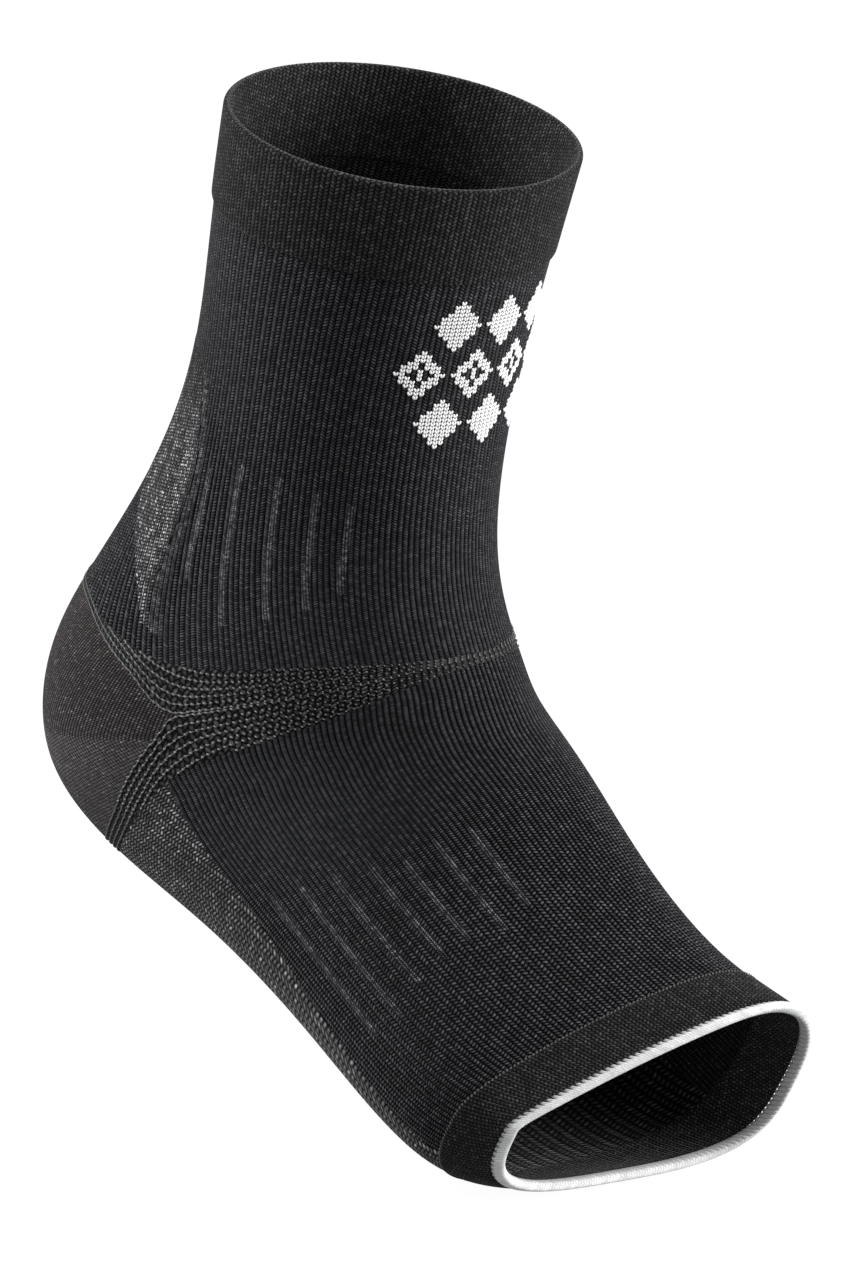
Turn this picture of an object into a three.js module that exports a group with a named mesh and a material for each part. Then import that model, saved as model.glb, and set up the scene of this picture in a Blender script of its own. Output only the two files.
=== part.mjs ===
// Knitted compression sleeve for the ankle and arch, open at the top and at the toes, in its worn form.
// Millimetres, +Z up along the leg, -Y towards the toes, +X towards the inner side of a right foot.
// The origin is the middle of the ankle, where the sleeve sits.
import * as THREE from 'three';

// Leg
const LEG_HEIGHT = 140;        // ankle middle up to the top rim
const SHIN_REACH = 39.5;       // leg axis forward to the shin at the top rim
const CALF_REACH = 42.5;       // leg axis back to the calf at the top rim
const LEG_HALF_WIDTH = 42.5;   // half the width of the top rim

// Ankle and heel
const INSTEP_REACH = 58;       // leg axis forward to the bend of the ankle
const INSTEP_RISE = 30;        // height of the bend of the ankle
const HEEL_REACH = 77;         // leg axis back to the heel
const HEEL_DROP = 66.5;        // origin down to the underside of the heel
const HEEL_HALF_WIDTH = 38;    // half the width over the ankle bones

// Foot
const TOE_REACH = 119.5;       // leg axis forward to the upper edge of the toe opening
const TOE_DROP = 46;           // origin down to that edge
const SOLE_DROP = 99.5;        // origin down to the ball of the foot
const BALL_HALF_WIDTH = 44;    // half the width over the ball of the foot

// Knit
const KNIT_WALL = 1.2;         // single knit of the tube
const HEEL_WALL = 1.4;         // denser knit of the heel cup
const TOP_CUFF_WALL = 2.2;     // doubled welt at the top
const TOP_CUFF_PROUD = 0.8;    // how far that welt stands out from the leg
const TOP_CUFF_DEPTH = 24;     // top rim down to the welt's lower edge
const TOE_CUFF_WALL = 1.8;     // doubled band at the toes
const TOE_CUFF_PROUD = 0.3;    // how far that band stands out from the foot
const TOE_CUFF_DEPTH = 15.5;   // toe rim back to the band's seam
const EDGING_WIDTH = 3.4;      // overlock edging, along the foot
const EDGING_THICKNESS = 2.8;  // overlock edging, through the knit
const EDGE_TAPER = 0.55;       // share of the wall that is left at a folded edge
const PIECE_GAP = 0.3;         // clearance between two pieces that are knitted together

// Sections from the top rim to the toe rim. Each is a ring through a front point and a back point:
// front and frontUp, back and backUp are shares of the sizes named for its stretch, half is a share of
// the half width there. upperPower and lowerPower are the powers of the two half ovals, rise lifts the
// inner side's back of the foot, shift moves the ring inwards as a share of the half width, and skew
// slants it so that the big toe's side reaches further forward.
const SECTION_COLUMNS = [
  'front', 'frontUp', 'back', 'backUp', 'half', 'upperPower', 'lowerPower', 'rise', 'shift', 'skew',
];
const STRETCHES = [
  {
    sizes: {
      front: SHIN_REACH, frontUp: LEG_HEIGHT, back: CALF_REACH, backUp: LEG_HEIGHT, half: LEG_HALF_WIDTH,
    },
    rows: [
      [1.000, 1.000, 1.000, 1.000, 1.000, 2.00, 2.00, 0.00, 0.00, 0.00],
      [0.937, 0.800, 1.012, 0.800, 0.941, 2.00, 2.00, 0.00, 0.00, 0.00],
      [0.911, 0.629, 1.012, 0.621, 0.847, 2.00, 2.00, 0.00, 0.00, 0.00],
      [0.924, 0.450, 1.059, 0.454, 0.800, 2.00, 2.00, 0.00, 0.00, 0.00],
    ],
  },
  {
    sizes: {
      front: INSTEP_REACH, frontUp: INSTEP_RISE, back: HEEL_REACH, backUp: HEEL_DROP, half: HEEL_HALF_WIDTH,
    },
    rows: [
      [0.672, 1.450, 0.682, 0.556, 0.895, 2.05, 2.00, 0.00, 0.00, 0.00],
      [0.776, 1.000, 0.844, 0.135, 0.934, 2.10, 2.00, 0.00, 0.00, 0.00],
      [0.905, 0.667, 1.000, -0.293, 1.000, 2.10, 2.20, 0.02, 0.00, 0.00],
      [1.000, 0.433, 0.961, -0.797, 0.961, 2.10, 2.30, 0.05, 0.00, 0.00],
      [1.095, 0.250, 0.545, -1.000, 0.947, 2.10, 2.30, 0.10, 0.00, 0.06],
    ],
  },
  {
    sizes: {
      front: TOE_REACH, frontUp: TOE_DROP, back: TOE_REACH, backUp: SOLE_DROP, half: BALL_HALF_WIDTH,
    },
    rows: [
      [0.586, -0.043, 0.017, -0.709, 0.841, 2.10, 2.35, 0.15, 0.00, 0.20],
      [0.695, -0.435, -0.351, -0.829, 0.864, 2.10, 2.45, 0.22, 0.00, 0.31],
      [0.884, -0.818, -0.722, -1.018, 0.990, 2.05, 2.50, 0.33, 0.023, 0.23],
      [1.000, -1.100, -0.904, -0.951, 0.856, 2.45, 3.14, 0.73, 0.241, 0.357],
    ],
  },
];

// Seams. Each row is an angle around the sleeve, 0 at the back and the sole, 90 at the sides and 180 at
// the front, and the station there, a share of the way from the top rim to the toe rim.
const SEAM_COLUMNS = { angle: 0, station: 1 };
const GORE_TOP = [
  [0, 0.430], [40, 0.438], [62, 0.457], [90, 0.480], [120, 0.465], [150, 0.457], [180, 0.457],
];
const HEEL_TOP = [[0, 0.437], [35, 0.442], [48, 0.449], [60, 0.465], [76, 0.495], [90, 0.532]];
const HEEL_BOTTOM = [[0, 0.660], [40, 0.652], [60, 0.631], [73, 0.599], [84, 0.559], [90, 0.532]];
const GORE_BOTTOM = [
  [0, 0.677], [40, 0.667], [60, 0.650], [72, 0.631], [84, 0.605], [93, 0.587],
  [110, 0.566], [125, 0.543], [140, 0.513], [155, 0.487], [168, 0.476], [180, 0.475],
];

// The Achilles panel. Each row is a share of the way down the leg tube, the angle of the panel's outer
// edge and the angle of its inner edge. It is whole from PANEL_TOP to PANEL_FORK, then runs down in two legs.
const PANEL_COLUMNS = { share: 0, outer: 1, inner: 2 };
const PANEL_EDGES = [
  [0.00, 64, 14], [0.12, 62, 14], [0.24, 60, 14], [0.36, 58, 14], [0.46, 63, 14], [0.56, 68, 14],
  [0.66, 69, 14], [0.72, 69, 29], [0.79, 70, 46], [0.85, 71, 60], [0.90, 74, 68], [0.94, 77, 73],
  [1.00, 77, 71],
];
const PANEL_TOP = 0.36;
const PANEL_FORK = 0.66;
const PANEL_TIP = 0.94;

// Half the angle that the sole panel spans, at the gore and at the toe cuff
const SOLE_AT_GORE = 84;
const SOLE_AT_TOES = 69;

// Cells of the net that every piece is cut from, around half the sleeve and along it
const BACK_CELLS = 6;
const PANEL_CELLS = 3;
const FLANK_CELLS = 3;
const FRONT_CELLS = 11;
const FOLDED_ROWS = [0, 0.05, 0.35, 0.65, 0.95, 1];
const GORE_CELLS = 2;
const HEEL_CELLS = 7;
const FOOT_CELLS = 11;
const EDGING_CELLS = 5;

const CORNER_ANGLE = 90;       // the heel cup's corners lie at the sides
const DERIVATIVE_STEP = 1e-4;

const clamp01 = (value) => Math.min(1, Math.max(0, value));
const mix = (a, b, share) => a + (b - a) * share;
const evenRows = (cells) => Array.from({ length: cells + 1 }, (_, index) => index / cells);

// A smooth curve through the rows of a table: cubic pieces whose slope at a row is that of the chord
// between its neighbours, and level at both ends.
function readTable(table, x, column = SEAM_COLUMNS.station) {
  let low = 0;
  while (low < table.length - 2 && x > table[low + 1][0]) low += 1;
  const slopeAt = (index) => {
    if (index === 0 || index === table.length - 1) return 0;
    const rise = table[index + 1][column] - table[index - 1][column];
    return rise / (table[index + 1][0] - table[index - 1][0]);
  };
  const width = table[low + 1][0] - table[low][0];
  const u = clamp01((x - table[low][0]) / width);
  const startWeight = (1 + 2 * u) * (1 - u) ** 2;
  const endWeight = u * u * (3 - 2 * u);
  const startSlope = slopeAt(low) * width * u * (1 - u) ** 2;
  const endSlope = slopeAt(low + 1) * width * u * u * (u - 1);
  return startWeight * table[low][column] + endWeight * table[low + 1][column] + startSlope + endSlope;
}

// One section's real sizes from its row of shares
function sectionFromRow(row, sizes) {
  const section = Object.fromEntries(SECTION_COLUMNS.map((name, index) => [name, row[index]]));
  return [
    -section.front * sizes.front, section.frontUp * sizes.frontUp,
    section.back * sizes.back, section.backUp * sizes.backUp,
    section.half * sizes.half, section.upperPower, section.lowerPower,
    section.rise, section.shift * sizes.half, section.skew,
  ];
}

const sections = STRETCHES.flatMap(({ sizes, rows }) => rows.map((row) => sectionFromRow(row, sizes)));
const beyond = (end, inner) => end.map((value, index) => 2 * value - inner[index]);
const controlRows = [
  beyond(sections[0], sections[1]),
  ...sections,
  beyond(sections.at(-1), sections.at(-2)),
];

// The section at a station, read from the rows as a uniform cubic B-spline
function sectionAt(station) {
  const spans = sections.length - 1;
  const along = clamp01(station) * spans;
  const first = Math.min(Math.floor(along), spans - 1);
  const u = along - first;
  const weights = [
    (1 - u) ** 3, 3 * u ** 3 - 6 * u ** 2 + 4, -3 * u ** 3 + 3 * u ** 2 + 3 * u + 1, u ** 3,
  ];
  return sections[0].map((_, column) => {
    const parts = weights.map((weight, index) => weight * controlRows[first + index][column]);
    return parts.reduce((total, part) => total + part, 0) / 6;
  });
}

// A point of the knit's outer surface. angle is in degrees from the back, positive round the inner side.
function surfacePoint(station, angle) {
  const [frontY, frontZ, backY, backZ, half, upperPower, lowerPower, rise, shift, skew] = sectionAt(station);
  const turn = THREE.MathUtils.degToRad(angle);
  const sideways = Math.sin(turn);
  const upwards = -Math.cos(turn);
  const power = upwards > 0 ? upperPower : lowerPower;
  const across = Math.sign(sideways) * Math.abs(sideways) ** (2 / power);
  const lift = upwards > 0 ? 1 + rise * across : 1;
  const depth = Math.sign(upwards) * Math.abs(upwards) ** (2 / power) * lift;
  return new THREE.Vector3(
    half * across + shift,
    (frontY + backY) / 2 + ((frontY - backY) / 2) * depth - skew * half * across,
    (frontZ + backZ) / 2 + ((frontZ - backZ) / 2) * depth,
  );
}

// The outward normal there, from two small steps over the surface
function surfaceNormal(station, angle) {
  const from = Math.max(0, station - DERIVATIVE_STEP);
  const to = Math.min(1, station + DERIVATIVE_STEP);
  const along = surfacePoint(to, angle).sub(surfacePoint(from, angle));
  const turnStep = THREE.MathUtils.radToDeg(DERIVATIVE_STEP);
  const around = surfacePoint(station, angle + turnStep).sub(surfacePoint(station, angle - turnStep));
  return around.cross(along).normalize();
}

// The station that lies a length away from one end, measured along the outer side
function stationFromEnd(end, length) {
  const step = end === 0 ? 0.001 : -0.001;
  let station = end;
  let walked = 0;
  while (walked < length) {
    const next = station + step;
    walked += surfacePoint(station, -CORNER_ANGLE).distanceTo(surfacePoint(next, -CORNER_ANGLE));
    station = next;
  }
  return station;
}

const topCuffStation = stationFromEnd(0, TOP_CUFF_DEPTH);
const toeCuffStation = stationFromEnd(1, TOE_CUFF_DEPTH);
const edgingStation = stationFromEnd(1, EDGING_WIDTH);

// Where the gore's upper and lower halves meet, in front of the heel cup's corners
const goreMiddle = (angle) => {
  const start = (readTable(GORE_TOP, CORNER_ANGLE) + readTable(GORE_BOTTOM, CORNER_ANGLE)) / 2;
  const middle = (readTable(GORE_TOP, angle) + readTable(GORE_BOTTOM, angle)) / 2;
  return middle + readTable(HEEL_TOP, CORNER_ANGLE) - start;
};
const heelTop = (angle) => (angle < CORNER_ANGLE ? readTable(HEEL_TOP, angle) : goreMiddle(angle));
const heelBottom = (angle) => (angle < CORNER_ANGLE ? readTable(HEEL_BOTTOM, angle) : goreMiddle(angle));

// The angles that bound the groups of columns: the Achilles panel's two edges, which run on below it,
// and the line through the heel cup's corner, which becomes the sole panel's edge
const panelBounds = (share) => [PANEL_COLUMNS.inner, PANEL_COLUMNS.outer]
  .map((column) => readTable(PANEL_EDGES, share, column));
const legEdges = (share) => [...panelBounds(share), CORNER_ANGLE];
const ankleEdges = () => legEdges(1);
const lowerGoreEdges = (share) => [...panelBounds(1), mix(CORNER_ANGLE, SOLE_AT_GORE, share)];
function soleEdges(share) {
  const edge = mix(SOLE_AT_GORE, SOLE_AT_TOES, share);
  return [...panelBounds(1).map((angle) => (angle * edge) / SOLE_AT_GORE), edge];
}

// Bands of the net from the top rim to the toe rim: the rows of cells in each, as shares of the way
// between the seam it starts at and the seam it ends at, and the angles that its columns follow
const BANDS = {
  topCuff: { rows: FOLDED_ROWS, from: () => 0, to: () => topCuffStation, edges: () => legEdges(0) },
  leg: {
    rows: PANEL_EDGES.map(([share]) => share),
    from: () => topCuffStation,
    to: (angle) => readTable(GORE_TOP, angle),
    edges: legEdges,
  },
  upperGore: {
    rows: evenRows(GORE_CELLS), from: (angle) => readTable(GORE_TOP, angle), to: heelTop, edges: ankleEdges,
  },
  heel: { rows: evenRows(HEEL_CELLS), from: heelTop, to: heelBottom, edges: ankleEdges },
  lowerGore: {
    rows: evenRows(GORE_CELLS),
    from: heelBottom,
    to: (angle) => readTable(GORE_BOTTOM, angle),
    edges: lowerGoreEdges,
  },
  foot: {
    rows: evenRows(FOOT_CELLS),
    from: (angle) => readTable(GORE_BOTTOM, angle),
    to: () => toeCuffStation,
    edges: soleEdges,
  },
  toeCuff: {
    rows: FOLDED_ROWS, from: () => toeCuffStation, to: () => edgingStation, edges: () => soleEdges(1),
  },
  edging: { rows: evenRows(EDGING_CELLS), from: () => edgingStation, to: () => 1, edges: () => soleEdges(1) },
};

const COLUMN_COUNTS = [BACK_CELLS, PANEL_CELLS, FLANK_CELLS, FRONT_CELLS];
const HALF_COLUMNS = COLUMN_COUNTS.reduce((total, count) => total + count, 0);
const COLUMNS = 2 * HALF_COLUMNS;
const PANEL_INNER_COLUMN = BACK_CELLS;
const PANEL_OUTER_COLUMN = BACK_CELLS + PANEL_CELLS;
const CORNER_COLUMN = PANEL_OUTER_COLUMN + FLANK_CELLS;

// The angle of a column of half the net, from the angles that bound its groups of cells
function columnAngle(column, edges) {
  const bounds = [0, ...edges, 180];
  let first = 0;
  for (let group = 0; group < COLUMN_COUNTS.length; group += 1) {
    const count = COLUMN_COUNTS[group];
    if (column <= first + count) return mix(bounds[group], bounds[group + 1], (column - first) / count);
    first += count;
  }
  return 180;
}

// One corner of the net. Rows of the heel band run together in front of the heel cup's corners, so
// their keys are the same there.
function netCorner(bandName, row, column) {
  const band = BANDS[bandName];
  const half = column <= HALF_COLUMNS ? column : COLUMNS - column;
  const side = column <= HALF_COLUMNS ? 1 : -1;
  const share = band.rows[row];
  const angle = columnAngle(half, band.edges(share));
  const station = mix(band.from(angle), band.to(angle), share);
  const key = `${Math.round(station * 1e6)}:${Math.round(side * angle * 1e4)}`;
  return { key, station, angle: side * angle, share };
}

// A closed wall over the chosen cells. Its rim is set back by half the gap, measured in the surface, and
// reliefs gives how far its two faces lie outside the tube's surface at a share of the way along its band.
function knitPiece(name, colour, roughness, cells, reliefs) {
  const corners = new Map();
  const triangles = [];
  for (const [bandName, row, column] of cells) {
    const next = (column + 1) % COLUMNS;
    const around = [
      netCorner(bandName, row, column), netCorner(bandName, row, next),
      netCorner(bandName, row + 1, next), netCorner(bandName, row + 1, column),
    ];
    for (const corner of around) {
      if (!corners.has(corner.key)) {
        corners.set(corner.key, {
          index: corners.size,
          point: surfacePoint(corner.station, corner.angle),
          normal: surfaceNormal(corner.station, corner.angle),
          relief: reliefs(bandName, corner.share),
          rimNormals: [],
        });
      }
    }
    const [a, b, c, d] = around.map(({ key }) => key);
    const halves = [[a, b, c], [a, c, d]];
    triangles.push(...halves.filter((keys) => new Set(keys).size === 3));
  }

  const list = [...corners.values()];
  const facesOut = triangles.reduce((total, keys) => {
    const [a, b, c] = keys.map((key) => corners.get(key));
    const facing = b.point.clone().sub(a.point).cross(c.point.clone().sub(a.point));
    return total + Math.sign(facing.dot(a.normal));
  }, 0) > 0;
  const oriented = facesOut ? triangles : triangles.map(([a, b, c]) => [a, c, b]);

  // an edge that no second triangle runs back along is on the rim, and the piece lies to its left
  const used = new Set();
  for (const keys of oriented) {
    keys.forEach((key, index) => used.add(`${key}>${keys[(index + 1) % 3]}`));
  }
  const rim = [...used].map((edge) => edge.split('>')).filter(([start, end]) => !used.has(`${end}>${start}`));
  for (const [start, end] of rim) {
    const from = corners.get(start);
    const to = corners.get(end);
    const edge = to.point.clone().sub(from.point).normalize();
    for (const corner of [from, to]) {
      corner.rimNormals.push(corner.normal.clone().cross(edge).normalize());
    }
  }

  const outer = list.map((corner) => {
    const [first, second] = corner.rimNormals;
    const point = corner.point.clone();
    if (first && second) {
      const miter = first.clone().add(second).divideScalar(Math.max(0.3, 1 + first.dot(second)));
      point.addScaledVector(miter, PIECE_GAP / 2);
    }
    return point;
  });
  const positions = [];
  for (const face of [0, 1]) {
    list.forEach((corner, index) => {
      positions.push(...outer[index].clone().addScaledVector(corner.normal, corner.relief[face]).toArray());
    });
  }

  const indexOf = (key) => corners.get(key).index;
  const indices = [];
  for (const [a, b, c] of oriented) {
    indices.push(indexOf(a), indexOf(b), indexOf(c));
    indices.push(indexOf(a) + list.length, indexOf(c) + list.length, indexOf(b) + list.length);
  }
  for (const [start, end] of rim) {
    const [a, b] = [indexOf(start), indexOf(end)];
    indices.push(b, a, a + list.length, b, a + list.length, b + list.length);
  }

  const geometry = new THREE.BufferGeometry();
  geometry.setAttribute('position', new THREE.Float32BufferAttribute(positions, 3));
  geometry.setIndex(indices);
  geometry.computeVertexNormals();
  const material = new THREE.MeshStandardMaterial({ color: colour, roughness, metalness: 0 });
  const mesh = new THREE.Mesh(geometry, material);
  mesh.name = name;
  return mesh;
}

// The two faces of a wall: how far each lies outside the tube's surface
const singleKnit = (wall) => () => [0, -wall];

// A doubled band tapers at its folded edges and stands a little out from the tube
function doubledKnit(wall, proud, foldedAtStart, foldedAtEnd) {
  return (_, share) => {
    const folded = (share === 0 && foldedAtStart) || (share === 1 && foldedAtEnd);
    const left = folded ? EDGE_TAPER : 1;
    const middle = proud - wall / 2;
    return [middle + (left * wall) / 2, middle - (left * wall) / 2];
  };
}

// The edging is a roll of thread: half an oval on each face of the knit
function rolledEdge(_, share) {
  const round = Math.sqrt(Math.max(0, 1 - (2 * share - 1) ** 2));
  const thickness = EDGING_THICKNESS * mix(1 - EDGE_TAPER, 1, round);
  const middle = -TOE_CUFF_WALL / 2 + TOE_CUFF_PROUD;
  return [middle + thickness / 2, middle - thickness / 2];
}

// Every cell of the named bands that passes a test of its row's start share and its half column
function cellsOf(bandNames, test = () => true) {
  const cells = [];
  for (const bandName of bandNames) {
    const { rows } = BANDS[bandName];
    for (let row = 0; row < rows.length - 1; row += 1) {
      for (let column = 0; column < COLUMNS; column += 1) {
        const half = column < HALF_COLUMNS ? column : COLUMNS - 1 - column;
        if (test(rows[row], half)) cells.push([bandName, row, column]);
      }
    }
  }
  return cells;
}

function inAchillesPanel(share, half) {
  const inRows = share >= PANEL_TOP && share < PANEL_TIP;
  const innermost = share < PANEL_FORK ? 0 : PANEL_INNER_COLUMN;
  return inRows && half >= innermost && half < PANEL_OUTER_COLUMN;
}
const behindCorners = (_, half) => half < CORNER_COLUMN;

const BLACK = '#17171b';
const HEEL_BLACK = '#1c1819';
const PANEL_GREY = '#2b2c30';
const GORE_GREY = '#222226';
const WHITE = '#e9e9e7';

const sleeve = new THREE.Group();
sleeve.add(
  knitPiece(
    'top_cuff', BLACK, 0.9,
    cellsOf(['topCuff']), doubledKnit(TOP_CUFF_WALL, TOP_CUFF_PROUD, true, true),
  ),
  knitPiece(
    'leg_tube', BLACK, 0.92,
    cellsOf(['leg'], (share, half) => !inAchillesPanel(share, half)), singleKnit(KNIT_WALL),
  ),
  knitPiece('achilles_panel', PANEL_GREY, 0.92, cellsOf(['leg'], inAchillesPanel), singleKnit(KNIT_WALL)),
  knitPiece(
    'ankle_band', GORE_GREY, 0.92,
    cellsOf(['upperGore', 'lowerGore']), singleKnit(KNIT_WALL),
  ),
  knitPiece('heel_cup', HEEL_BLACK, 0.85, cellsOf(['heel'], behindCorners), singleKnit(HEEL_WALL)),
  knitPiece(
    'foot_tube', BLACK, 0.92,
    cellsOf(['foot'], (share, half) => !behindCorners(share, half)), singleKnit(KNIT_WALL),
  ),
  knitPiece('sole_panel', PANEL_GREY, 0.92, cellsOf(['foot'], behindCorners), singleKnit(KNIT_WALL)),
  knitPiece(
    'toe_cuff', BLACK, 0.9,
    cellsOf(['toeCuff']), doubledKnit(TOE_CUFF_WALL, TOE_CUFF_PROUD, true, false),
  ),
  knitPiece('toe_edging', WHITE, 0.8, cellsOf(['edging']), rolledEdge),
);

export default sleeve;
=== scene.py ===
"""Blender scene of a knitted arch support sleeve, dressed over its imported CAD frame.

The sleeve is one surface, worked out from named sizes: a station runs from the top rim to the toe rim and
an angle runs round it, 0 at the back and the sole and 180 at the front, positive on the inner side. Each
piece is a net of places on that surface, with its ribs, rows and stitches as real relief.
"""
from __future__ import annotations

import logging
import math
from dataclasses import dataclass, field, replace
from enum import Enum
from functools import reduce
from typing import Callable, Sequence

import bpy
import numpy as np
from mathutils import Matrix, Vector

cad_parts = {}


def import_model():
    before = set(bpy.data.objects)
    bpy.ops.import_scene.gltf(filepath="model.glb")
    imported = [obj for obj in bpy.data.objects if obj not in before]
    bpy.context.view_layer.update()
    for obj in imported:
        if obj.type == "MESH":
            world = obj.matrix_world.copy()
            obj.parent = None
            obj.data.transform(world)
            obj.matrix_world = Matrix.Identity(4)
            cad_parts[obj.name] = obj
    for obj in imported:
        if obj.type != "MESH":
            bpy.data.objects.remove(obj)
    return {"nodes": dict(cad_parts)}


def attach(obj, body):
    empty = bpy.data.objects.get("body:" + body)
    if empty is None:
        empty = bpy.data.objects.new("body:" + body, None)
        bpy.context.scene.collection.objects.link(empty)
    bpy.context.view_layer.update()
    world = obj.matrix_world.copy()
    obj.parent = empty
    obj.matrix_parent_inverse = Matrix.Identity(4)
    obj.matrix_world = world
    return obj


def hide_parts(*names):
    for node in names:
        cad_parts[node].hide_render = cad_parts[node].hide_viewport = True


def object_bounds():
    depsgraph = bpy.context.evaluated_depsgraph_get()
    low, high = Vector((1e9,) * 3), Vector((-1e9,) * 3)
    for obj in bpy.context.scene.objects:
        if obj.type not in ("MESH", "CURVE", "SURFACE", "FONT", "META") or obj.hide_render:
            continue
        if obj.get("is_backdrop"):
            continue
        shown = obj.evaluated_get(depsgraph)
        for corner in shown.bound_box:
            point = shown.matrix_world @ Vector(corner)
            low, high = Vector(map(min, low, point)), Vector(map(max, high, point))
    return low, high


Array = np.ndarray
Seam = Callable[[Array], Array]
Colour = tuple[float, float, float]
Socket = bpy.types.NodeSocket
Inputs = dict[int | str, object]
Look = tuple[Socket, Inputs]
LOG = logging.getLogger("sleeve")
MM = 0.001
NUDGE = 1e-6
SMALL_STEP = 2e-4
CORNER_ANGLE = 90.0
KNIT_MAP = "knit"


class Slot(Enum):
    """The record's material slots."""

    RIBBED = "ribbed_knit"
    CUFF = "cuff_knit"
    GORE = "gore_knit"
    HEEL = "heel_knit"
    SPECKLED = "speckled_knit"
    WHITE = "white_thread"


class Side(Enum):
    """The two sides of the leg, as the sign of their angles."""

    OUTER = -1
    INNER = 1


def mix(a: Array, b: Array, share: Array) -> Array:
    """The value a share of the way from a to b."""
    return a + (b - a) * share


def smooth_step(low: float, high: float, value: Array) -> Array:
    """0 below low and 1 above high, with a smooth rise between."""
    u = np.clip((value - low) / (high - low), 0.0, 1.0)
    return u * u * (3.0 - 2.0 * u)


def read_table(table: Array, x: Array, column: int = 1) -> Array:
    """Read a smooth curve through a table's rows.

    The formula is cubic pieces whose slope at a row is that of the chord between its neighbours, level at
    both ends.

    Args:
        table: rows whose first column rises.
        x: where to read it.
        column: the column to read.

    Returns:
        The curve's values, shaped as x.
    """
    knots, values = table[:, 0], table[:, column]
    slopes = np.zeros(len(knots))
    slopes[1:-1] = (values[2:] - values[:-2]) / (knots[2:] - knots[:-2])
    low = np.clip(np.searchsorted(knots, x, side="left") - 1, 0, len(knots) - 2)
    width = knots[low + 1] - knots[low]
    u = np.clip((x - knots[low]) / width, 0.0, 1.0)
    start = (1 + 2 * u) * (1 - u) ** 2 * values[low] + u * (1 - u) ** 2 * width * slopes[low]
    end = u * u * (3 - 2 * u) * values[low + 1] + u * u * (u - 1) * width * slopes[low + 1]
    return start + end


@dataclass(frozen=True)
class SleeveSizes:
    """The sleeve's sizes in millimetres."""

    leg_height: float = 140.0
    shin_reach: float = 39.5
    calf_reach: float = 42.5
    leg_half_width: float = 42.5
    instep_reach: float = 58.0
    instep_rise: float = 30.0
    heel_reach: float = 77.0
    heel_drop: float = 66.5
    heel_half_width: float = 38.0
    toe_reach: float = 119.5
    toe_drop: float = 46.0
    sole_drop: float = 99.5
    ball_half_width: float = 44.0
    knit_wall: float = 1.2
    heel_wall: float = 1.4
    top_cuff_wall: float = 2.2
    top_cuff_proud: float = 0.8
    top_cuff_depth: float = 24.0
    toe_cuff_wall: float = 1.8
    toe_cuff_proud: float = 0.3
    toe_cuff_depth: float = 15.5
    edging_width: float = 3.4
    edging_thickness: float = 2.8


# Sections from the top rim to the toe rim. Each is a ring through a front point and a back point: front,
# front up, back, back up and half width are shares of the sizes of its stretch. Then come the powers of
# the upper and lower half ovals, the rise of the inner side, the shift inwards and the slant of the toes.
LEG_SECTIONS = (
    (1.000, 1.000, 1.000, 1.000, 1.000, 2.00, 2.00, 0.00, 0.00, 0.00),
    (0.937, 0.800, 1.012, 0.800, 0.941, 2.00, 2.00, 0.00, 0.00, 0.00),
    (0.911, 0.629, 1.012, 0.621, 0.847, 2.00, 2.00, 0.00, 0.00, 0.00),
    (0.924, 0.450, 1.059, 0.454, 0.800, 2.00, 2.00, 0.00, 0.00, 0.00),
)
HEEL_SECTIONS = (
    (0.672, 1.450, 0.682, 0.556, 0.895, 2.05, 2.00, 0.00, 0.00, 0.00),
    (0.776, 1.000, 0.844, 0.135, 0.934, 2.10, 2.00, 0.00, 0.00, 0.00),
    (0.905, 0.667, 1.000, -0.293, 1.000, 2.10, 2.20, 0.02, 0.00, 0.00),
    (1.000, 0.433, 0.961, -0.797, 0.961, 2.10, 2.30, 0.05, 0.00, 0.00),
    (1.095, 0.250, 0.545, -1.000, 0.947, 2.10, 2.30, 0.10, 0.00, 0.06),
)
FOOT_SECTIONS = (
    (0.586, -0.043, 0.017, -0.709, 0.841, 2.10, 2.35, 0.15, 0.00, 0.20),
    (0.695, -0.435, -0.351, -0.829, 0.864, 2.10, 2.45, 0.22, 0.00, 0.31),
    (0.884, -0.818, -0.722, -1.018, 0.990, 2.05, 2.50, 0.33, 0.023, 0.23),
    (1.000, -1.100, -0.904, -0.951, 0.856, 2.45, 3.14, 0.73, 0.241, 0.357),
)

# Seams: an angle from the back, and the station of the seam there
GORE_TOP = np.array([
    (0, 0.430), (40, 0.438), (62, 0.457), (90, 0.480), (120, 0.465), (150, 0.457), (180, 0.457),
])
HEEL_TOP = np.array([(0, 0.437), (35, 0.442), (48, 0.449), (60, 0.465), (76, 0.495), (90, 0.532)])
HEEL_BOTTOM = np.array([(0, 0.660), (40, 0.652), (60, 0.631), (73, 0.599), (84, 0.559), (90, 0.532)])
GORE_BOTTOM = np.array([
    (0, 0.677), (40, 0.667), (60, 0.650), (72, 0.631), (84, 0.605), (93, 0.587),
    (110, 0.566), (125, 0.543), (140, 0.513), (155, 0.487), (168, 0.476), (180, 0.475),
])

# The Achilles panel: share of the way down the leg tube, angle of its outer edge, angle of its inner edge
PANEL_EDGES = np.array([
    (0.00, 64, 14), (0.12, 62, 14), (0.24, 60, 14), (0.36, 58, 14), (0.46, 63, 14), (0.56, 68, 14),
    (0.66, 69, 14), (0.72, 69, 29), (0.79, 70, 46), (0.85, 71, 60), (0.90, 74, 68), (0.94, 77, 73),
    (1.00, 77, 71),
])
PANEL_TOP = 0.36
PANEL_FORK = 0.66
PANEL_TIP = 0.94
SOLE_AT_GORE = 84.0
SOLE_AT_TOES = 69.0

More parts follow.
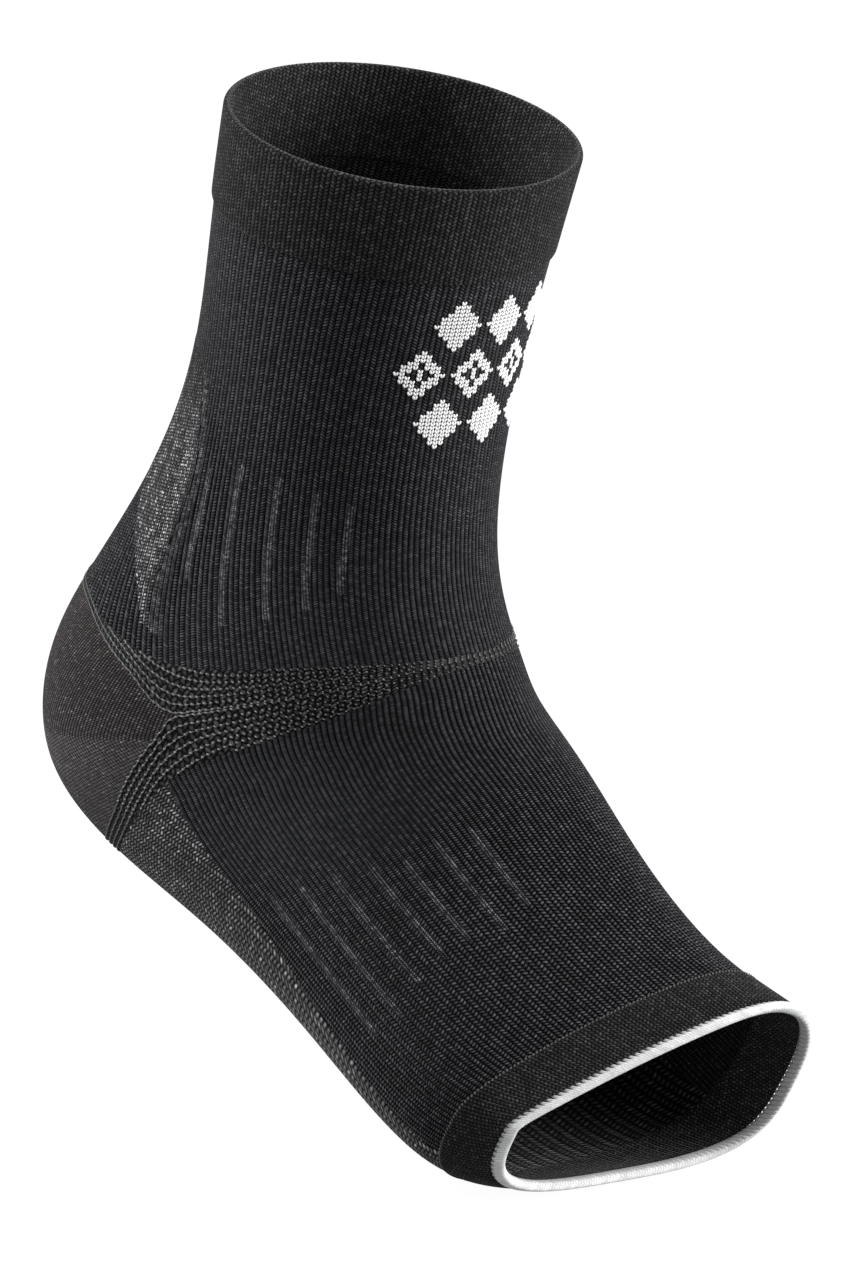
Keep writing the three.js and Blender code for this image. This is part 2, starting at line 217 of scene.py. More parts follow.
# Support ribs knitted into the ankle and the foot: first station, last station, angle
ANKLE_RIBS = (
    (0.271, 0.367, 129.0), (0.267, 0.393, 117.0), (0.263, 0.411, 105.0), (0.265, 0.427, 91.5),
    (0.283, 0.387, 77.0),
)
FOOT_RIBS = (
    (0.754, 0.864, 87.0), (0.749, 0.866, 100.5), (0.758, 0.858, 114.0), (0.760, 0.852, 126.0),
    (0.770, 0.848, 137.0), (0.764, 0.850, 149.5), (0.764, 0.840, 160.0),
)


class SleeveForm:
    """The sleeve's outer surface, as a function of station and angle."""

    def __init__(self, sizes: SleeveSizes) -> None:
        """Turn the section tables into real sizes, with a row beyond each end for the spline.

        Args:
            sizes: the sleeve's sizes.
        """
        self.sizes = sizes
        leg = (sizes.shin_reach, sizes.leg_height, sizes.calf_reach, sizes.leg_height, sizes.leg_half_width)
        heel = (
            sizes.instep_reach, sizes.instep_rise, sizes.heel_reach, sizes.heel_drop, sizes.heel_half_width,
        )
        foot = (sizes.toe_reach, sizes.toe_drop, sizes.toe_reach, sizes.sole_drop, sizes.ball_half_width)
        stretches = ((LEG_SECTIONS, leg), (HEEL_SECTIONS, heel), (FOOT_SECTIONS, foot))
        sections = np.vstack([self._real_sections(np.array(rows), scale) for rows, scale in stretches])
        before = 2 * sections[0] - sections[1]
        after = 2 * sections[-1] - sections[-2]
        self.controls = np.vstack([before, sections, after])
        self.spans = len(sections) - 1

    @staticmethod
    def _real_sections(rows: Array, scale: Sequence[float]) -> Array:
        """Rows of shares as real sizes: each share times its size, the front's reach towards -Y.

        Args:
            rows: sections as shares.
            scale: the sizes of their stretch: front, front up, back, back up and half width.

        Returns:
            The sections in millimetres.
        """
        real = rows.copy()
        real[:, :5] *= np.array(scale)
        real[:, 0] *= -1
        real[:, 8] *= scale[4]
        return real

    def point(self, station: Array, angle: Array) -> Array:
        """Points of the surface, in metres.

        The formula: the section at a station is read from the rows as a uniform cubic B-spline. Round it,
        across is the sine of the angle to the power 2 over the oval's power, depth is minus its cosine to
        the same power, and the slant moves a point forward by a share of how far it lies inwards.

        Args:
            station: share of the way from the top rim to the toe rim.
            angle: degrees round the sleeve.

        Returns:
            An array with a last axis of three.
        """
        station, angle = np.broadcast_arrays(np.asarray(station, float), np.asarray(angle, float))
        along = np.clip(station, 0.0, 1.0) * self.spans
        first = np.minimum(along.astype(int), self.spans - 1)
        u = along - first
        weights = (
            (1 - u) ** 3, 3 * u**3 - 6 * u**2 + 4, -3 * u**3 + 3 * u**2 + 3 * u + 1, u**3,
        )
        section = sum(w[..., None] * self.controls[first + k] for k, w in enumerate(weights)) / 6
        parts = np.moveaxis(section, -1, 0)
        front_y, front_z, back_y, back_z, half, upper, lower, rise, shift, slant = parts
        turn = np.radians(angle)
        sideways, upwards = np.sin(turn), -np.cos(turn)
        power = 2.0 / np.where(upwards > 0, upper, lower)
        across = np.sign(sideways) * np.abs(sideways) ** power
        lift = np.where(upwards > 0, 1 + rise * across, 1.0)
        depth = np.sign(upwards) * np.abs(upwards) ** power * lift
        x = half * across + shift
        y = (front_y + back_y) / 2 + (front_y - back_y) / 2 * depth - slant * half * across
        z = (front_z + back_z) / 2 + (front_z - back_z) / 2 * depth
        return np.stack([x, y, z], -1) * MM

    def frame(self, station: Array, angle: Array) -> tuple[Array, Array, Array]:
        """Directions at places of the surface, from the places a small step to each side.

        Args:
            station: stations of the places.
            angle: their angles.

        Returns:
            Unit vectors round the sleeve, along it and out of it.
        """
        turn = math.degrees(SMALL_STEP)
        around = self.point(station, angle + turn) - self.point(station, angle - turn)
        low, high = np.clip(station - SMALL_STEP, 0, 1), np.clip(station + SMALL_STEP, 0, 1)
        along = self.point(high, angle) - self.point(low, angle)
        outward = np.cross(around, along)
        return unit(around), unit(along), unit(outward)


def unit(vectors: Array) -> Array:
    """Vectors scaled to length one."""
    return vectors / np.maximum(np.linalg.norm(vectors, axis=-1, keepdims=True), 1e-12)


@dataclass
class KnitPlan:
    """How the wales run over the form: where each wale lies at each station.

    Round the front half the wales keep their natural spacing, and they stretch apart towards the back.
    On the foot the line that they are counted from turns towards the inner side.
    """

    form: SleeveForm
    wales: int = 172
    natural_half_girth: float = 0.121
    stretch_power: float = 2.4
    widest_ratio: float = 1.42
    toe_turn: float = 26.0
    turn_start: float = 0.62
    turn_end: float = 0.98
    stations: int = 321
    angles: int = 1081
    steps: int = 1025
    curve_steps: int = 513
    settling_rounds: int = 8

    def __post_init__(self) -> None:
        """Tabulate the angle of each wale at each station, by arc length."""
        self.station_rows = np.linspace(0, 1, self.stations)
        self.angle_columns = np.linspace(-180, 180, self.angles)
        points = self.form.point(self.station_rows[:, None], self.angle_columns[None, :])
        around = np.linalg.norm(np.diff(points, axis=1), axis=2)
        self.arc = np.hstack([np.zeros((self.stations, 1)), np.cumsum(around, axis=1)])
        along = np.linalg.norm(np.diff(points, axis=0), axis=2)
        self.length = np.vstack([np.zeros((1, self.angles)), np.cumsum(along, axis=0)])
        self.girth = self.arc[:, -1]
        self.shares = np.linspace(-1, 1, self.steps)
        self.wale_angle = self._angles(self.natural_half_girth, self.stretch_power)
        self.even_angle = self._angles(None, 1.0)

    def front_angle(self, station: Array) -> Array:
        """The angle that the wales are counted from."""
        return 180.0 - self.toe_turn * smooth_step(self.turn_start, self.turn_end, station)

    def _angles(self, natural: float | None, power: float) -> Array:
        """Angles of every step round the girth at every station.

        The formula: a step's share f from the front is r x - (r - 1) x^p, where x is its share of the half
        girth and r is the half girth over the natural one, so its angle is found by reading that backwards.

        Args:
            natural: half girth in metres at which the steps are even, or None for even steps everywhere.
            power: p in the formula.

        Returns:
            The angles, a row for each station and a column for each step.
        """
        table = np.empty((self.stations, self.steps))
        x = np.linspace(0, 1, self.curve_steps)
        for row, station in enumerate(self.station_rows):
            half = self.girth[row] / 2
            ratio = 1.0 if natural is None else min(half / natural, self.widest_ratio)
            share = ratio * x - (ratio - 1) * x**power
            reach = np.interp(1 - np.abs(self.shares), share, x)
            front = np.interp(self.front_angle(station), self.angle_columns, self.arc[row])
            place = front - half + np.sign(self.shares) * half * (1 - reach)
            arcs = np.concatenate([self.arc[row, :-1] - self.girth[row], self.arc[row]])
            degrees = np.concatenate([self.angle_columns[:-1] - 360, self.angle_columns])
            table[row] = np.interp(place, arcs, degrees)
        return table

    def angle_at(self, station: Array, share: Array, even: bool = False) -> Array:
        """Angle of a share of the half girth, -1 to 1, read from the table between its four neighbours."""
        table = self.even_angle if even else self.wale_angle
        return read_grid(table, station * (self.stations - 1), (share + 1) / 2 * (self.steps - 1))

    def share_at(self, station: float, angle: float) -> float:
        """The table read backwards.

        Args:
            station: where along the sleeve.
            angle: degrees round it.

        Returns:
            The share of the half girth there.
        """
        angles = self.angle_at(np.full(self.steps, station), self.shares)
        while angle > angles[-1]:
            angle -= 360
        return float(np.interp(angle, angles, self.shares))

    def _column(self, angle: Array) -> Array:
        """The tables' column at an angle, as a number with a fraction."""
        return (wrapped(angle) + 180) / 360 * (self.angles - 1)

    def arc_at(self, station: Array, angle: Array) -> Array:
        """Distance round the girth from the back, in metres, negative on the outer side."""
        middle = np.interp(station, self.station_rows, self.arc[:, self.angles // 2])
        return read_grid(self.arc, station * (self.stations - 1), self._column(angle)) - middle

    def length_at(self, station: Array, angle: Array) -> Array:
        """Distance along the sleeve from the top rim, in metres."""
        return read_grid(self.length, station * (self.stations - 1), self._column(angle))

    def station_from_end(self, end: int, distance: float) -> float:
        """The station at a distance from one end, on the outer side.

        Args:
            end: 0 for the top rim, 1 for the toe rim.
            distance: metres from it.

        Returns:
            The station.
        """
        lengths = self.length[:, int((180 - CORNER_ANGLE) / 360 * (self.angles - 1))]
        target = distance if end == 0 else lengths[-1] - distance
        return float(np.interp(target, lengths, self.station_rows))

    def settle(
        self, start: Seam, end: Seam, share: Array, around: Array, even: bool = False,
    ) -> tuple[Array, Array]:
        """Where rows between two seams cross columns of wales, found by going back and forth between them.

        Args:
            start: station of the first seam by angle.
            end: station of the last seam by angle.
            share: share of the way between the seams, for each row.
            around: share of the half girth of each place.
            even: whether the columns divide the girth evenly.

        Returns:
            The stations and the angles.
        """
        station = np.broadcast_to(mix(start(np.array(0.0)), end(np.array(0.0)), share), around.shape)
        for _ in range(self.settling_rounds):
            angle = self.angle_at(station, around, even)
            station = mix(start(angle), end(angle), share)
        return station, angle


def wrapped(angle: Array) -> Array:
    """Angles brought between -180 and 180."""
    return (np.asarray(angle) + 180) % 360 - 180


def read_grid(table: Array, row: Array, column: Array) -> Array:
    """A table read between its rows and columns: the mean of four neighbours, weighted by nearness.

    Args:
        table: the table.
        row: rows to read at, with fractions.
        column: columns to read at, with fractions.

    Returns:
        The values there.
    """
    row, column = np.broadcast_arrays(row, column)
    row = np.clip(row, 0, table.shape[0] - 1 - NUDGE)
    column = np.clip(column, 0, table.shape[1] - 1 - NUDGE)
    r, c = row.astype(int), column.astype(int)
    a, b = row - r, column - c
    upper = table[r, c] * (1 - b) + table[r, c + 1] * b
    lower = table[r + 1, c] * (1 - b) + table[r + 1, c + 1] * b
    return upper * (1 - a) + lower * a


def gore_top(angle: Array) -> Array:
    """Station of the gore's upper seam."""
    return read_table(GORE_TOP, np.abs(wrapped(angle)))


def gore_bottom(angle: Array) -> Array:
    """Station of the gore's lower seam."""
    return read_table(GORE_BOTTOM, np.abs(wrapped(angle)))


def gore_middle(angle: Array) -> Array:
    """Station where the gore's halves meet, in front of the heel cup.

    The formula is the mean of the gore's two seams, moved so that it starts at the heel cup's corner.

    Args:
        angle: degrees round the sleeve.

    Returns:
        The stations.
    """
    corner = np.array(CORNER_ANGLE)
    offset = HEEL_TOP[-1, 1] - (gore_top(corner) + gore_bottom(corner)) / 2
    return (gore_top(angle) + gore_bottom(angle)) / 2 + offset


def heel_top(angle: Array) -> Array:
    """Station of the heel cup's upper edge, and of the gore's middle in front of its corners."""
    turn = np.abs(wrapped(angle))
    return np.where(turn < CORNER_ANGLE, read_table(HEEL_TOP, turn), gore_middle(angle))


def heel_bottom(angle: Array) -> Array:
    """Station of the heel cup's lower edge, and of the gore's middle in front of its corners."""
    turn = np.abs(wrapped(angle))
    return np.where(turn < CORNER_ANGLE, read_table(HEEL_BOTTOM, turn), gore_middle(angle))


@dataclass
class Net:
    """A net of places on the sleeve: rows along it, columns round it."""

    station: Array
    angle: Array
    wale: Array
    course: Array

    @property
    def shape(self) -> tuple[int, int]:
        """Rows and columns."""
        return self.station.shape

    def all_faces(self) -> Array:
        """Two triangles for each cell."""
        rows, columns = self.shape
        return between(np.zeros(rows, int), np.full(rows, columns - 1), 0, rows - 1, columns)


def between(left: Array, right: Array, first: int, last: int, columns: int) -> Array:
    """Triangles of a net's rows first to last, between a left and a right column in each row.

    Whole cells are cut into two triangles. Where an edge moves over columns from one row to the next, a fan
    of triangles fills the slanted side, so the edge is straight there.

    Args:
        left: first column of every row of the net.
        right: last column of every row.
        first: the row to start at.
        last: the row to end at.
        columns: the net's columns.

    Returns:
        Corner indices, three a triangle, facing out.
    """
    faces = []
    for row in range(first, last):
        top, low = row * columns, (row + 1) * columns
        l0, l1, r0, r1 = int(left[row]), int(left[row + 1]), int(right[row]), int(right[row + 1])
        cells = np.arange(max(l0, l1), min(r0, r1))
        faces.append(np.column_stack([top + cells, top + cells + 1, low + cells + 1]))
        faces.append(np.column_stack([top + cells, low + cells + 1, low + cells]))
        for upper, lower, at_left in ((l0, l1, True), (r0, r1, False)):
            run = np.arange(min(upper, lower), max(upper, lower))
            if (upper < lower) == at_left:
                corners = top + run, top + run + 1, np.full(len(run), low + lower)
            else:
                corners = np.full(len(run), top + upper), low + run + 1, low + run
            faces.append(np.column_stack(corners))
    return np.vstack(faces)


@dataclass
class Surface:
    """Triangles with their knit coordinates, ready for a mesh."""

    points: Array
    faces: Array
    knit: Array
    masks: dict[str, Array] = field(default_factory=dict)
    finish: int = 0

    def joined(
        self, others: Sequence[Surface],
    ) -> tuple[Array, Array, Array, dict[str, Array], Array]:
        """This surface and others as one set of arrays.

        Args:
            others: the other surfaces.

        Returns:
            Points, faces, knit coordinates, masks, and the finish of each face.
        """
        parts = [self, *others]
        starts = np.cumsum([0] + [len(part.points) for part in parts[:-1]])
        names = sorted({name for part in parts for name in part.masks})
        masks = {
            name: np.concatenate([part.masks.get(name, np.zeros(len(part.points))) for part in parts])
            for name in names
        }
        return (
            np.vstack([part.points for part in parts]),
            np.vstack([part.faces + start for part, start in zip(parts, starts)]),
            np.vstack([part.knit for part in parts]),
            masks,
            np.concatenate([np.full(len(part.faces), part.finish) for part in parts]),
        )


def weld_map(points: Array) -> tuple[Array, Array]:
    """Points in the same place made one.

    Args:
        points: the points, in metres.

    Returns:
        The kept points' indices, and for every point its place among them.
    """
    keys = np.round(points / (MM * 1e-3)).astype(np.int64)
    _, kept, place = np.unique(keys, axis=0, return_index=True, return_inverse=True)
    return kept, place.reshape(-1)


def closed_wall(outer: Surface, inner_points: Array) -> Surface:
    """Close a piece of knit: its outer face, its inner face turned round, and a wall along every rim.

    Args:
        outer: the outer face.
        inner_points: where each of its points lies on the inner face.

    Returns:
        The closed surface.
    """
    count = len(outer.points)
    _, place = weld_map(outer.points)
    edges = np.vstack([outer.faces[:, [0, 1]], outer.faces[:, [1, 2]], outer.faces[:, [2, 0]]])
    ends = place[edges]
    edges, ends = edges[ends[:, 0] != ends[:, 1]], ends[ends[:, 0] != ends[:, 1]]
    forward = ends[:, 0] * count + ends[:, 1]
    backward = ends[:, 1] * count + ends[:, 0]
    start, end = edges[~np.isin(forward, backward)].T
    faces = np.vstack([
        outer.faces,
        outer.faces[:, ::-1] + count,
        np.column_stack([end, start, start + count]),
        np.column_stack([end, start + count, end + count]),
    ])
    masks = {name: np.concatenate([mask, mask]) for name, mask in outer.masks.items()}
    # The inside mask marks the inner face, which the knit finishes paint in shade.
    masks["inside"] = np.repeat([0.0, 1.0], count)
    points = np.vstack([outer.points, inner_points])
    return Surface(points, faces, np.vstack([outer.knit, outer.knit]), masks, outer.finish)


def wall_from_net(
    form: SleeveForm, net: Net, faces: Array, outer: Array | float, inner: Array | float,
    masks: dict[str, Array] | None = None,
) -> Surface:
    """A closed wall over part of a net.

    Args:
        form: the sleeve's surface.
        net: the net of places.
        faces: the triangles to keep.
        outer: height of the outer face over the surface, in millimetres.
        inner: height of the inner face, negative inwards.
        masks: values for the finish at each place.

    Returns:
        The closed surface.
    """
    used, local = np.unique(faces, return_inverse=True)

    def kept(values: Array | float) -> Array:
        """Values of the net's places, as one list of those that are used."""
        return np.broadcast_to(values, net.shape).reshape(-1)[used]

    points = form.point(net.station, net.angle).reshape(-1, 3)[used]
    normals = form.frame(net.station, net.angle)[2].reshape(-1, 3)[used]
    face = Surface(
        points + normals * kept(outer)[:, None] * MM,
        local.reshape(-1, 3),
        np.column_stack([kept(net.wale), kept(net.course)]),
        {name: kept(mask) for name, mask in (masks or {}).items()},
    )
    return closed_wall(face, points + normals * kept(inner)[:, None] * MM)


def bell(value: Array, width: float) -> Array:
    """A bell curve: 1 at zero, and 1 over e at the width."""
    return np.exp(-((value / width) ** 2))


def rib_groove(wale: Array, width: float = 0.17) -> Array:
    """Depth of the groove between two wales, 0 to 1: a bell curve about each whole number."""
    return bell(np.abs(wale - np.round(wale)), width)


@dataclass(frozen=True)
class SupportRibs:
    """Raised ribs knitted along the wales, each nearly two wales wide, with a dark line behind it.

    Attributes:
        places: first station, last station and angle of each.
        inner_limit: the inner side has those at a smaller angle than this.
        lean: wales by which the top of a rib lies further to the front than its bottom.
        start_fade: stations before and after its start over which a rib rises.
        end_fade: stations before and after its end over which it falls.
        half_width: wales from its middle over which it falls away sideways.
        line_offset: wales from its middle to the dark line.
        line_width: width of that line.
    """

    places: Sequence[tuple[float, float, float]]
    inner_limit: float
    lean: float = 0.0
    start_fade: tuple[float, float] = (0.007, 0.011)
    end_fade: tuple[float, float] = (0.005, 0.005)
    half_width: tuple[float, float] = (0.3, 0.85)
    line_offset: float = 1.5
    line_width: float = 0.35

    def masks(self, plan: KnitPlan, net: Net) -> tuple[Array, Array]:
        """Where the ribs and their lines lie on a net of wales.

        Args:
            plan: how the wales run.
            net: the net.

        Returns:
            A mask of the ribs, and a mask of the dark lines.
        """
        band, line = np.zeros(net.shape), np.zeros(net.shape)
        for start, end, angle in self.places:
            middle = (start + end) / 2
            down = (net.station - middle) / (end - start)
            rising = smooth_step(start - self.start_fade[0], start + self.start_fade[1], net.station)
            falling = smooth_step(end - self.end_fade[0], end + self.end_fade[1], net.station)
            along = rising * (1 - falling)
            for side in Side:
                if side is Side.INNER and angle > self.inner_limit:
                    continue
                share = plan.share_at(middle, side.value * angle)
                wale = np.floor((share + 1) / 2 * plan.wales) + 0.5
                away = net.wale - wale + side.value * self.lean * down
                band = np.maximum(band, along * (1 - smooth_step(*self.half_width, np.abs(away))))
                line = np.maximum(line, along * bell(away + side.value * self.line_offset, self.line_width))
        return band, line


def scalloped_edge(distance: Array, course: Array, reach: float, period: float) -> Array:
    """A mask along a panel's edge whose inner border rises and falls in points.

    The border is a wave of straight sides, between 0.4 and 1.6 times the reach from the edge.

    Args:
        distance: millimetres in from the edge.
        course: courses along it.
        reach: millimetres from the edge to the middle of the border.
        period: courses from one point to the next.

    Returns:
        1 at the edge, 0 inside.
    """
    wave = np.abs((course / period) % 1.0 - 0.5) * 2
    border = reach * (0.4 + 1.2 * wave)
    return 1 - smooth_step(-1.0, 1.0, distance - border)


@dataclass(frozen=True)
class StitchShape:
    """The size of one raised stitch in millimetres: along, across and up."""

    length: float | Array
    width: float
    height: float


def unit_bead(segments: int = 6, rings: int = 3) -> tuple[Array, Array]:
    """A small closed ball: rings between two poles.

    Args:
        segments: points of a ring.
        rings: rings between the poles.

    Returns:
        Its points, on a ball of radius one, and its outward triangles.
    """
    heights = np.cos(np.linspace(0, math.pi, rings + 2)[1:-1])
    radii = np.sqrt(1 - heights**2)
    turns = np.linspace(0, 2 * math.pi, segments, endpoint=False)
    ring = np.stack([
        radii[:, None] * np.cos(turns), radii[:, None] * np.sin(turns), heights[:, None] + 0 * turns,
    ], -1).reshape(-1, 3)
    points = np.vstack([ring, [(0, 0, 1), (0, 0, -1)]])
    step = np.arange(segments)
    ahead = (step + 1) % segments
    faces = [np.column_stack([np.full(segments, len(ring)), step, ahead])]
    for row in range(rings - 1):
        a, b = row * segments + step, row * segments + ahead
        faces += [np.column_stack([a, a + segments, b + segments]), np.column_stack([a, b + segments, b])]
    last = (rings - 1) * segments
    faces.append(np.column_stack([np.full(segments, len(ring) + 1), last + ahead, last + step]))
    return points, np.vstack(faces)


def stitches(
    form: SleeveForm, station: Array, angle: Array, turn: Array | float, size: StitchShape,
    scale: Array | float, lift: float, finish: int = 1, slide: float = 0.0, way: Array | None = None,
) -> Surface:
    """Raised stitches laid on the surface: one ball for each place, stretched along its thread.

    Args:
        form: the sleeve's surface.
        station: stations of the stitches.
        angle: their angles.
        turn: degrees from the way round the sleeve to each thread.
        size: full size of a stitch.
        scale: share of that size for each stitch.
        lift: height of its middle over the surface, in millimetres.
        finish: which of the piece's finishes they take.
        slide: millimetres that each is moved round the sleeve.
        way: directions that the turn is counted from, where it isn't the way round the sleeve.

    Returns:
        All of them as one surface.
    """
    around, along, outward = form.frame(station, angle)
    centre = form.point(station, angle) + outward * lift * MM + around * slide * MM
    if way is not None:
        around = unit(way - outward * np.sum(way * outward, axis=1, keepdims=True))
    side = np.cross(outward, around)
    radians = np.radians(np.broadcast_to(turn, station.shape))[:, None]
    cosine, sine = np.cos(radians), np.sin(radians)
    thread = around * cosine + side * sine
    across = np.cross(outward, thread)
    ball, faces = unit_bead()
    half = np.broadcast_to(scale, station.shape)[:, None, None] * MM / 2
    points = centre[:, None] + half * (
        ball[None, :, :1] * np.broadcast_to(size.length, station.shape)[:, None, None] * thread[:, None]
        + ball[None, :, 1:2] * size.width * across[:, None]
        + ball[None, :, 2:] * size.height * outward[:, None]
    )
    count = len(station)
    starts = np.arange(count)[:, None, None] * len(ball)
    number = np.repeat(np.arange(count) + 0.5, len(ball))
    place = np.tile(ball[:, 0], count)
    return Surface(
        points.reshape(-1, 3), (faces[None] + starts).reshape(-1, 3), np.column_stack([number, place]),
        {}, finish,
    )


# How fine the noise of the fibres is on knit and on single threads, and the coarser tufts among them
YARN_FIBRES = 2400.0
THREAD_FIBRES = 3200.0
TUFT_SCALE = 420.0
TUFT_SHARE = 0.3


class Nodes:
    """A short way to add and join shader nodes in one tree."""

    def __init__(self, tree: bpy.types.NodeTree) -> None:
        """Keep the tree."""
        self.tree = tree

    def fill(self, node: bpy.types.Node, inputs: Inputs) -> bpy.types.Node:
        """Join sockets to a node's inputs, and set the inputs' own values.

        Args:
            node: the node.
            inputs: a socket or a plain value for each input, by its name or number.

        Returns:
            The node.
        """
        for key, value in inputs.items():
            if isinstance(value, Socket):
                self.tree.links.new(value, node.inputs[key])
            else:
                node.inputs[key].default_value = value
        return node

    def add(self, kind: str, inputs: Inputs | None = None, **settings: object) -> bpy.types.Node:
        """A new node.

        Args:
            kind: its type.
            inputs: sockets and values for its inputs.
            settings: its own properties.

        Returns:
            The node.
        """
        node = self.tree.nodes.new(kind)
        for name, value in settings.items():
            setattr(node, name, value)
        return self.fill(node, inputs or {})

    def group(self, name: str, **inputs: object) -> bpy.types.Node:
        """A shared node group placed in this tree."""
        return self.add("ShaderNodeGroup", dict(inputs), node_tree=bpy.data.node_groups[name])

    def math(self, operation: str, *values: object, clamp: bool = False) -> Socket:
        """The result of one Math node."""
        node = self.add("ShaderNodeMath", dict(enumerate(values)), operation=operation, use_clamp=clamp)
        return node.outputs[0]

    def times(self, *values: object) -> Socket:
        """The product of several values."""
        return reduce(lambda a, b: self.math("MULTIPLY", a, b), values)

    def plus(self, *values: object) -> Socket:
        """The sum of several values."""
        return reduce(lambda a, b: self.math("ADD", a, b), values)

    def centred(self, value: object) -> Socket:
        """-1 to 1 over each whole step of a value."""
        return self.times(self.math("SUBTRACT", self.math("FRACT", value), 0.5), 2.0)

    def blend(self, share: object, a: object, b: object) -> Socket:
        """A mix of two colours."""
        return self.add("ShaderNodeMix", {0: share, 6: a, 7: b}, data_type="RGBA").outputs[2]

    def number_blend(self, share: object, a: object, b: object) -> Socket:
        """A mix of two numbers."""
        return self.add("ShaderNodeMix", {0: share, 2: a, 3: b}, data_type="FLOAT").outputs[0]

    def between(self, value: object, low: float, high: float, to_low: float, to_high: float) -> object:
        """A value carried from one range to another, and kept inside it."""
        inputs = dict(enumerate((value, low, high, to_low, to_high)))
        return self.add("ShaderNodeMapRange", inputs, clamp=True).outputs[0]

    def noise(self, vector: object, scale: object) -> Socket:
        """Soft noise, 0 to 1."""
        return self.add("ShaderNodeTexNoise", {"Vector": vector, "Scale": scale, "Detail": 2.0}).outputs[0]

    def split(self, vector: object) -> tuple[Socket, Socket]:
        """The first two values of a vector."""
        node = self.add("ShaderNodeSeparateXYZ", {0: vector})
        return node.outputs[0], node.outputs[1]

    def scaled(self, vector: object, scale: tuple[float, float, float]) -> Socket:
        """A vector scaled by a Mapping node."""
        return self.add("ShaderNodeMapping", {"Vector": vector, "Scale": scale}).outputs[0]

    def fibre(self, scale: float) -> Socket:
        """The fibres of the yarn over the piece, 0 to 1."""
        place = self.add("ShaderNodeTexCoord").outputs["Object"]
        return self.group("YarnFibre", Place=place, Scale=scale).outputs[0]

    def mask(self, name: str) -> Socket:
        """A value that the piece carries at each point."""
        return self.add("ShaderNodeAttribute", attribute_name=name).outputs["Fac"]


def new_group(
    name: str, inputs: dict[str, float | None], outputs: Sequence[str],
) -> tuple[Nodes, bpy.types.NodeOutputs, bpy.types.Node]:
    """A new node group with its input and output nodes.

    Args:
        name: its name.
        inputs: its inputs: one given as None is a vector, the others start at their number.
        outputs: names of its outputs.

    Returns:
        Its nodes, the sockets that its inputs arrive on, and the node that takes its outputs.
    """
    group = bpy.data.node_groups.new(name, "ShaderNodeTree")
    for label, start in inputs.items():
        kind = "NodeSocketVector" if start is None else "NodeSocketFloat"
        socket = group.interface.new_socket(name=label, in_out="INPUT", socket_type=kind)
        if start is not None:
            socket.default_value = start
    for label in outputs:
        group.interface.new_socket(name=label, in_out="OUTPUT", socket_type="NodeSocketFloat")
    n = Nodes(group)
    return n, n.add("NodeGroupInput").outputs, n.add("NodeGroupOutput")


def stitch_loops_group() -> None:
    """Knitted loops over the knit map, as a height and a random value for each loop.

    Each wale holds two legs side by side that slant towards its middle. A leg's height is a half round
    across it and along each loop.
    """
    inputs = {"Knit": None, "Slant": 0.5, "Roundness": 0.6, "Offset": 0.5}
    n, given, result = new_group("StitchLoops", inputs, ("Height", "Loop"))
    wale, course = n.split(given["Knit"])
    off_middle = n.math("ABSOLUTE", n.math("SUBTRACT", n.math("FRACT", wale), 0.5))
    lean = n.times(off_middle, n.times(given["Slant"], 2.0))
    legs = n.times(wale, 2.0)
    leg = n.math("FLOOR", legs)
    slanted = n.plus(course, lean, n.times(leg, given["Offset"]))
    across, along = n.centred(legs), n.centred(slanted)
    round_across = n.math("SUBTRACT", 1.0, n.times(across, across))
    round_along = n.math("SUBTRACT", 1.0, n.times(along, along, given["Roundness"]))
    height = n.times(n.math("POWER", round_across, 0.6), round_along)
    cell = n.add("ShaderNodeCombineXYZ", {0: leg, 1: n.math("FLOOR", slanted)}).outputs[0]
    random = n.add("ShaderNodeTexWhiteNoise", {"Vector": cell}, noise_dimensions="2D")
    n.fill(result, {"Height": height, "Loop": random.outputs["Value"]})


def fibre_group() -> None:
    """Fine fibres of the yarn: two sizes of soft noise over the object, put together."""
    n, given, result = new_group("YarnFibre", {"Place": None, "Scale": YARN_FIBRES}, ("Fibre",))
    fine = n.times(n.noise(given["Place"], given["Scale"]), 1 - TUFT_SHARE)
    coarse = n.times(n.noise(given["Place"], TUFT_SCALE), TUFT_SHARE)
    n.fill(result, {"Fibre": n.plus(fine, coarse)})


# Tones of the finishes: where a panel fades, the darkest loop, and a groove between threads, which is also
# the painted shade on a thread's inner side
FADED_TONE = 0.42
DARKEST_LOOP = 0.42
GROOVE_TONE = (0.05, 0.05, 0.05, 1)

# Loops: the height at which one starts, what its random value is multiplied by for a second one, how high
# the fibres stand on it, and how many small loops or lace loops there are to one loop
LOOP_EDGE = 0.1
LOOP_SHUFFLE = 7.0
FIBRE_RELIEF = 0.35
FINE_LOOPS = (2.0, 1.5, 1.0)
LACE_LOOPS = (1.0, 0.75, 1.0)
LACE_SLANT = 0.8


@dataclass(frozen=True)
class Finish:
    """What the finishes of knit and of single threads have in common.

    Attributes:
        name: the material's name.
        relief: millimetres that the highest thread stands up.
    """

    name: str
    relief: float = field(default=0.16, kw_only=True)

    def look(self, n: Nodes, knit_map: Socket) -> Look:
        """The height of the bump and the shader's other inputs, which each kind of finish works out."""
        raise NotImplementedError

    def make(self) -> bpy.types.Material:
        """The finish as a material.

        Returns:
            A new material, whose shader has the look and its bump.
        """
        material = bpy.data.materials.new(self.name)
        material.use_nodes = True
        n = Nodes(material.node_tree)
        height, inputs = self.look(n, n.add("ShaderNodeUVMap", uv_map=KNIT_MAP).outputs["UV"])
        bump = n.add("ShaderNodeBump", {"Strength": 1.0, "Distance": self.relief * MM, "Height": height})
        n.fill(material.node_tree.nodes["Principled BSDF"], {**inputs, "Normal": bump.outputs["Normal"]})
        return material


